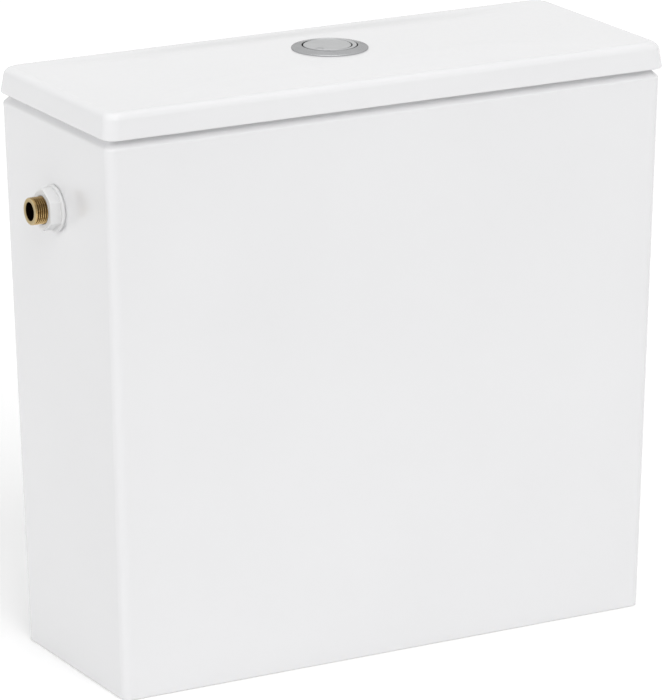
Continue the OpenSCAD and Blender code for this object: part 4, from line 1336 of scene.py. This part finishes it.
@dataclass
class WaterInlet:
    """The brass tail with its screw thread, and the flanged white nut round it."""

    y: float = INLET_Y
    z: float = INLET_Z
    end: float = 206.635
    inner_end: float = 165.07
    bore_r: float = 5.65
    bore_edge: float = 0.4
    bore_turn: float = 0.12
    screw: Screw = Screw(crest=8.33, root=7.35, pitch=1.337, flat=0.2, fade=0.5)
    lead: float = 0.85
    bevel: float = 0.35
    bevel_top: float = 0.1
    bevel_turn: float = 0.12
    bevel_rise: float = 0.05
    bevel_low: float = 0.15
    neck_r: float = 7.8
    neck_run: float = 0.6
    tail_sides: int = 112
    nut_lap: float = 2.0
    nut_back: float = 189.081
    nut_end: float = 198.535
    nut_edge: float = 0.3
    nut_bore: float = 8.53
    nut_sides: int = 120
    nut_crease_deg: float = 25.0
    flange_r: float = 14.5
    flange_t: float = 2.5
    flange_edge: float = 0.8
    flange_gap: float = 1.2
    flange_undercut: float = 1.0
    flange_back_edge: float = 0.2
    flats: float = 23.2
    corner_cut: float = 0.18
    root_rise: float = 0.2
    root_run: float = 0.15
    crown_h: float = 0.7
    crown_in: float = 1.0
    crown_power: float = 1.6

    CROWN_SHARES = (0.35, 0.7, 1.0)
    HEX_SIDE = math.radians(60)

    def turning(self, steps: int) -> Turning:
        """Returns a turning on the inlet's axis, measured from the middle of the tank."""
        return Turning((0, self.y, self.z), (-1, 0, 0), steps)

    def tail(self) -> None:
        """Makes the brass tail."""
        turned, end, bevel = self.turning(self.tail_sides), self.end, self.bevel
        bore, outer, stop = self.bore_r, self.screw.crest, self.nut_end - self.nut_lap
        turned.path([(self.neck_r, self.inner_end), (bore, self.inner_end), (bore, end - self.bore_edge)])
        turned.path([(bore + self.bore_turn, end - self.bore_turn), (bore + self.bore_edge, end)])
        turned.row(outer - bevel - self.bevel_top, end)
        turned.row(outer - self.bevel_turn, end - bevel + self.bevel_rise)
        turned.row(outer, end - bevel - self.bevel_low)
        turned.thread(end - self.lead, stop, self.screw)
        turned.row(self.neck_r, stop - self.neck_run)
        piece = turned.piece("inlet_thread", loop=True)
        for face in piece.data.polygons:
            face.material_index = int(face.center.x < (bevel - end) * MM)
        settle(piece, Body.TANK, Slot.BRASS, "inlet_tail", finishes=(BRASS, FACED_BRASS))

    def nut_row(self, along: float, limit: float) -> Row:
        """Draws a row of the hexagon, cut round at a limit radius.

        Args:
            along: Place along the axis.
            limit: Largest radius, where the lathe has taken the corners off.

        Returns:
            The row.
        """

        def shape(angle: float) -> Pair:
            """Returns radius and place at one angle."""
            off = (angle + self.HEX_SIDE / 2) % self.HEX_SIDE - self.HEX_SIDE / 2
            return min(self.flats / 2 / math.cos(off), limit), along

        return shape

    def nut(self) -> None:
        """Makes the flanged nut, one corner up."""
        turned, bore, start, stop = self.turning(self.nut_sides), self.nut_bore, self.nut_back, self.nut_end
        r, e, back = self.flange_r, self.flange_edge, self.flange_back_edge
        front, gap, under = start + self.flange_t, start + self.flange_gap, r - self.flange_undercut
        corner = self.flats / 2 / math.cos(self.HEX_SIDE / 2) - self.corner_cut
        crown = stop - self.crown_h
        # The flange stands a little off the wall, which leaves a thin shadow round it.
        turned.path([(bore, start), (under, start), (under, gap), (r - back, gap), (r, gap + back)])
        turned.fillet(r - e, front - e, e, 0, 90, 5)
        hexagon = [(front, corner + self.root_rise), (front + self.root_run, corner), (crown, corner)]
        for share in self.CROWN_SHARES:
            hexagon.append((crown + self.crown_h * share, corner - self.crown_in * share**self.crown_power))
        turned.rows += [self.nut_row(along, limit) for along, limit in hexagon]
        turned.path([(bore + self.nut_edge, stop), (bore, stop - self.nut_edge)])
        piece = turned.piece("inlet_nut", loop=True, crease_deg=self.nut_crease_deg)
        settle(piece, Body.TANK, Slot.WHITE, "inlet_collar")

    def build(self) -> None:
        """Makes the tail and the nut."""
        self.tail()
        self.nut()


# Moulded pieces inside the tank


@dataclass
class PushRod:
    """A moulded rod under one button, with the screw thread that sets its length."""

    x: float
    node: str
    body: Body
    slot: Slot
    screw: Screw = Screw(crest=2.5, root=2.05, pitch=1.5, flat=0.3, fade=1.0)
    low: float = 308.3
    high: float = 350.8
    thread_low: float = 310.5
    thread_high: float = 326.5
    edge: float = 0.4
    sides: int = 40

    def build(self) -> None:
        """Makes the rod, which moves with its button."""
        r, e = self.screw.crest, self.edge
        turned = Turning((self.x, 0, 0), UPWARDS, self.sides)
        turned.path([(r - e, self.low), (r, self.low + e)])
        turned.thread(self.thread_low, self.thread_high, self.screw)
        turned.path([(r, self.high - e), (r - e, self.high)])
        piece = turned.piece(self.node + "_screw", caps=True)
        settle(piece, self.body, self.slot, self.node)


@dataclass
class WeldSeam:
    """The raised band where the two halves of a float are welded."""

    centre: Point
    body: Body
    slot: Slot
    radius: float = 24.0
    height: float = 1.6
    rise: float = 0.35
    bite: float = 0.5

    def build(self) -> None:
        """Makes the band, which moves with its float."""
        r, rise, half = self.radius, self.rise, self.height / 2
        turned = Turning(self.centre, UPWARDS)
        turned.path([(r - self.bite, -half), (r, -half), (r + rise, rise - half)])
        turned.path([(r + rise, half - rise), (r, half), (r - self.bite, half)])
        settle(turned.piece("float_seam", loop=True), self.body, self.slot, even=False)


@dataclass
class LevelKnob:
    """The fluted knob on the fill valve's float rod that sets the water level."""

    x: float = -116.787
    y: float = INLET_Y
    radius: float = 5.5
    bore: float = 2.12
    low: float = 323.06
    high: float = 329.06
    edge: float = 0.7
    flutes: int = 18
    flute_depth: float = 0.5
    sides: int = 144

    def flute_row(self, along: float) -> Row:
        """Draws a fluted row.

        Args:
            along: Height of the row.

        Returns:
            The row.
        """

        def shape(angle: float) -> Pair:
            """Returns radius and height at one angle."""
            return self.radius - self.flute_depth * (0.5 + 0.5 * math.cos(self.flutes * angle)), along

        return shape

    def build(self) -> None:
        """Makes the knob."""
        turned = Turning((self.x, self.y, 0), UPWARDS, self.sides)
        inner = self.radius - self.flute_depth - self.edge
        turned.path([(self.bore, self.low), (inner, self.low)])
        turned.rows += [self.flute_row(self.low + self.edge), self.flute_row(self.high - self.edge)]
        turned.path([(inner, self.high), (self.bore, self.high)])
        settle(turned.piece("level_knob", loop=True), Body.FLOAT, Slot.BLUE, "level_adjuster")


@dataclass
class TowerRibs:
    """The stiffening ribs and webs on the flush tower's two posts."""

    post_face: float = 36.6
    post_half: float = 15.0
    low: float = 60.0
    high: float = 245.3
    rib_w: float = 2.0
    rib_rise: float = 1.4
    web_h: float = 1.6
    web_rise: float = 1.0
    webs: int = 5
    bite: float = 0.5
    edge: float = 0.3

    def bar(self, draft: MeshDraft, first: Point, last: Point) -> None:
        """Draws a straight bar with bevelled edges between two opposite corners.

        Args:
            draft: Mesh that takes the faces.
            first: One corner.
            last: The opposite corner, higher up.
        """
        e, (x0, x1), (y0, y1) = self.edge, sorted((first[0], last[0])), sorted((first[1], last[1]))
        rings = []
        for z, inset in ((first[2], e), (first[2] + e, 0.0), (last[2] - e, 0.0), (last[2], e)):
            a, b, c, d = x0 + inset, x1 - inset, y0 + inset, y1 - inset
            plan = [(a + e, c), (b - e, c), (b, c + e), (b, d - e)]
            plan += [(b - e, d), (a + e, d), (a, d - e), (a, c + e)]
            rings.append(draft.ring([(x, y, z) for x, y in plan]))
        draft.stack(rings, caps=True)

    def build(self) -> None:
        """Makes the ribs and webs of both posts as one piece."""
        draft, half, web = MeshDraft(), self.post_half - self.rib_w / 2, self.web_h / 2
        step = (self.high - self.low) / (self.webs + 1)
        for side in (-1, 1):
            near = side * (self.post_face - self.bite)
            rib_far, web_far = (side * (self.post_face + rise) for rise in (self.rib_rise, self.web_rise))
            for x in (-self.post_half, self.post_half - self.rib_w):
                self.bar(draft, (x, near, self.low), (x + self.rib_w, rib_far, self.high))
            for i in range(self.webs):
                z = self.low + step * (i + 1)
                self.bar(draft, (-half, near, z - web), (half, web_far, z + web))
        settle(draft.build("tower_ribs"), Body.TANK, Slot.WHITE, even=False)


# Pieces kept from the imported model


@dataclass
class CarriedNodes:
    """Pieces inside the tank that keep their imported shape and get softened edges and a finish."""

    edge_mm: float = 0.3
    edge_steps: int = 2
    crease_deg: float = 40.0
    flat_deg: float = 0.5
    weld_distance: float = 1e-6
    close_fit: tuple[str, ...] = ("overflow_tube",)

    def soften(self, piece: bpy.types.Object) -> None:
        """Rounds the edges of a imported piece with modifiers, its own mesh untouched.

        Args:
            piece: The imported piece.
        """
        piece.modifiers.new("weld", "WELD").merge_threshold = self.weld_distance
        flat = piece.modifiers.new("flat", "DECIMATE")
        flat.decimate_type, flat.angle_limit = "DISSOLVE", math.radians(self.flat_deg)
        bevel = piece.modifiers.new("edge", "BEVEL")
        bevel.width, bevel.segments = self.edge_mm * MM, self.edge_steps
        bevel.limit_method, bevel.angle_limit = "ANGLE", math.radians(self.crease_deg)
        even_normals(piece)

    def build(self) -> None:
        """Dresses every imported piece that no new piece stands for."""
        for row in frame["record"]["subparts"]:
            name, slot = row["node"], Slot(row["material_slot"])
            piece = frame["nodes"][name]
            if piece.hide_render:
                continue
            piece.data.materials.clear()
            piece.data.materials.append(SLOT_FINISH[slot].build())
            # A rounded inner corner on the tube would fill the clearance that its collar slides in.
            if name not in self.close_fit:
                self.soften(piece)
            log.info("dressed %s", name)


# Studio


@dataclass(frozen=True)
class SoftLamp:
    """A far soft lamp that lights the floor evenly.

    Its light comes from the direction of a point, its width is an angle as seen from the cistern, and its
    strength is the light on a surface that faces it, in watts per square metre.
    """

    name: str
    at: Point
    width_deg: float
    strength: float

    def build(self) -> None:
        """Adds the lamp, which mirrors don't show."""
        data = bpy.data.lights.new(self.name, "SUN")
        data.energy, data.angle = self.strength, math.radians(self.width_deg)
        made = bpy.data.objects.new(self.name, data)
        made.location = self.at
        made.rotation_mode = "QUATERNION"
        made.rotation_quaternion = (-Vector(self.at)).to_track_quat("-Z", "Y")
        made.visible_glossy = False
        bpy.context.scene.collection.objects.link(made)


@dataclass
class Studio:
    """Camera, soft light, white surroundings and a pale floor."""

    camera_at: Point = (-1.56438, -2.80526, 1.11945)
    turn_deg: float = -29.16
    rise_deg: float = 16.39
    lens_mm: float = 278.43
    sensor_mm: float = 36.0
    clip: Pair = (0.05, 100.0)
    floor_size: float = 30.0
    floor_drop: float = 0.0002
    floor_colour: str = "#f2f2f2"
    floor_glow: float = 0.19
    sky_light: float = 0.4
    wall_foot: float = 0.7
    wall_rise: Pair = (0.02, 0.22)
    panel_light: float = 1.3
    panel_rise: Pair = (0.84, 0.97)
    lamps: tuple[SoftLamp, ...] = (
        SoftLamp("left_lamp", (-2.6, 0.5, 0.65), width_deg=40.0, strength=0.76),
        SoftLamp("front_lamp", (-0.45, -2.75, 2.6), width_deg=40.0, strength=1.53),
        SoftLamp("top_lamp", (0.8, 0.3, 2.5), width_deg=60.0, strength=0.66),
    )

    WHITE = (1.0, 1.0, 1.0, 1.0)

    def camera(self) -> None:
        """Sets the camera at the photograph's place and angle."""
        a, e = math.radians(self.turn_deg), math.radians(self.rise_deg)
        back = Vector((math.sin(a) * math.cos(e), -math.cos(a) * math.cos(e), math.sin(e)))
        right = Vector((math.cos(a), math.sin(a), 0))
        turn = Matrix((right, back.cross(right), back)).transposed().to_4x4()
        made = bpy.data.objects.new("camera", bpy.data.cameras.new("camera"))
        made.data.lens, made.data.sensor_width = self.lens_mm, self.sensor_mm
        made.data.clip_start, made.data.clip_end = self.clip
        made.matrix_world = Matrix.Translation(self.camera_at) @ turn
        bpy.context.scene.collection.objects.link(made)
        bpy.context.scene.camera = made

    @staticmethod
    def seen_rays(tree: bpy.types.NodeTree) -> Socket:
        """Tells the rays from the camera, a mirror or glass from the rest.

        Args:
            tree: Node tree that takes the nodes.

        Returns:
            1 for those rays, 0 for the rest.
        """
        path = add_node(tree, "ShaderNodeLightPath").outputs
        seen = path["Is Camera Ray"]
        for kind in ("Is Glossy Ray", "Is Transmission Ray"):
            seen = add_node(tree, "ShaderNodeMath", {0: seen, 1: path[kind]}, operation="MAXIMUM").outputs[0]
        return seen

    def sky(self) -> None:
        """Surrounds the scene with white that lights it at a plain level."""
        world = bpy.data.worlds.new("white_surroundings")
        world.use_nodes = True
        tree = world.node_tree
        tree.nodes.clear()
        lit = add_node(tree, "ShaderNodeBackground", {"Color": self.WHITE, "Strength": self.sky_light})
        # Mirrors see a white room, dim along the foot of its walls and with a bright panel overhead.
        way = add_node(tree, "ShaderNodeTexCoord").outputs["Generated"]
        rise = add_node(tree, "ShaderNodeSeparateXYZ", {0: way}).outputs["Z"]
        wall, panel = (*self.wall_rise, self.wall_foot, 1.0), (*self.panel_rise, 0.0, self.panel_light)
        parts = {}
        for i, (low, high, dark, bright) in enumerate((wall, panel)):
            span = {"Value": rise, "From Min": low, "From Max": high, "To Min": dark, "To Max": bright}
            parts[i] = add_node(tree, "ShaderNodeMapRange", span, interpolation_type="SMOOTHSTEP").outputs[0]
        room = add_node(tree, "ShaderNodeMath", parts, operation="ADD").outputs[0]
        seen = add_node(tree, "ShaderNodeBackground", {"Color": self.WHITE, "Strength": room})
        sides = {0: self.seen_rays(tree), 1: lit.outputs[0], 2: seen.outputs[0]}
        mixed = add_node(tree, "ShaderNodeMixShader", sides)
        add_node(tree, "ShaderNodeOutputWorld", {"Surface": mixed.outputs[0]})
        bpy.context.scene.world = world

    def floor(self) -> None:
        """Lays the floor: matt white paper that keeps the cistern's shadow and reads as white."""
        material = bpy.data.materials.new("matt_white_paper")
        material.use_nodes = True
        tree = material.node_tree
        tree.nodes.clear()
        paper = add_node(tree, "ShaderNodeBsdfDiffuse", {"Color": linear(self.floor_colour)})
        seen = {0: self.seen_rays(tree), 1: self.floor_glow}
        lift = add_node(tree, "ShaderNodeMath", seen, operation="MULTIPLY")
        glow = add_node(tree, "ShaderNodeEmission", {"Strength": lift.outputs[0]})
        both = add_node(tree, "ShaderNodeAddShader", {0: paper.outputs[0], 1: glow.outputs[0]})
        add_node(tree, "ShaderNodeOutputMaterial", {"Surface": both.outputs[0]})
        draft, half, drop = MeshDraft(), self.floor_size / MM / 2, -self.floor_drop / MM
        corners = [(-half, -half), (half, -half), (half, half), (-half, half)]
        draft.cap(draft.ring([(x, y, drop) for x, y in corners]))
        made = draft.build("floor")
        made.data.materials.append(material)

    def build(self) -> None:
        """Sets up the camera, the surroundings, the floor and the lamps."""
        bpy.context.scene.view_settings.view_transform = "Standard"
        self.camera()
        self.sky()
        self.floor()
        for lamp in self.lamps:
            lamp.build()


class Assembly(Protocol):
    """Whatever the main function can build."""

    def build(self) -> None:
        """Makes its pieces and dresses them."""


def main() -> None:
    """Builds the studio and every piece of the cistern in order."""
    logging.basicConfig(level=logging.INFO, format="%(name)s: %(message)s")
    tank = Tank()
    lid = Lid(tank)
    button = FlushButton(lid.top)
    assemblies: list[Assembly] = [
        Studio(),
        tank,
        lid,
        button,
        ReturnSpring(-button.rod_x, "full_flush_spring", "full_flush_press"),
        ReturnSpring(button.rod_x, "half_flush_spring", "half_flush_press"),
        WaterInlet(),
        PushRod(-button.rod_x, "full_flush_rod", Body.FULL_BUTTON, Slot.GREY),
        PushRod(button.rod_x, "half_flush_rod", Body.HALF_BUTTON, Slot.BLUE),
        LevelKnob(),
        WeldSeam((-135.787, INLET_Y, 219.0), Body.FLOAT, Slot.WHITE),
        TowerRibs(),
        WeldSeam((0, 0, 142.5), Body.VALVE, Slot.GREY),
        CarriedNodes(),
    ]
    for assembly in assemblies:
        assembly.build()


if __name__ == "__main__":
    main()
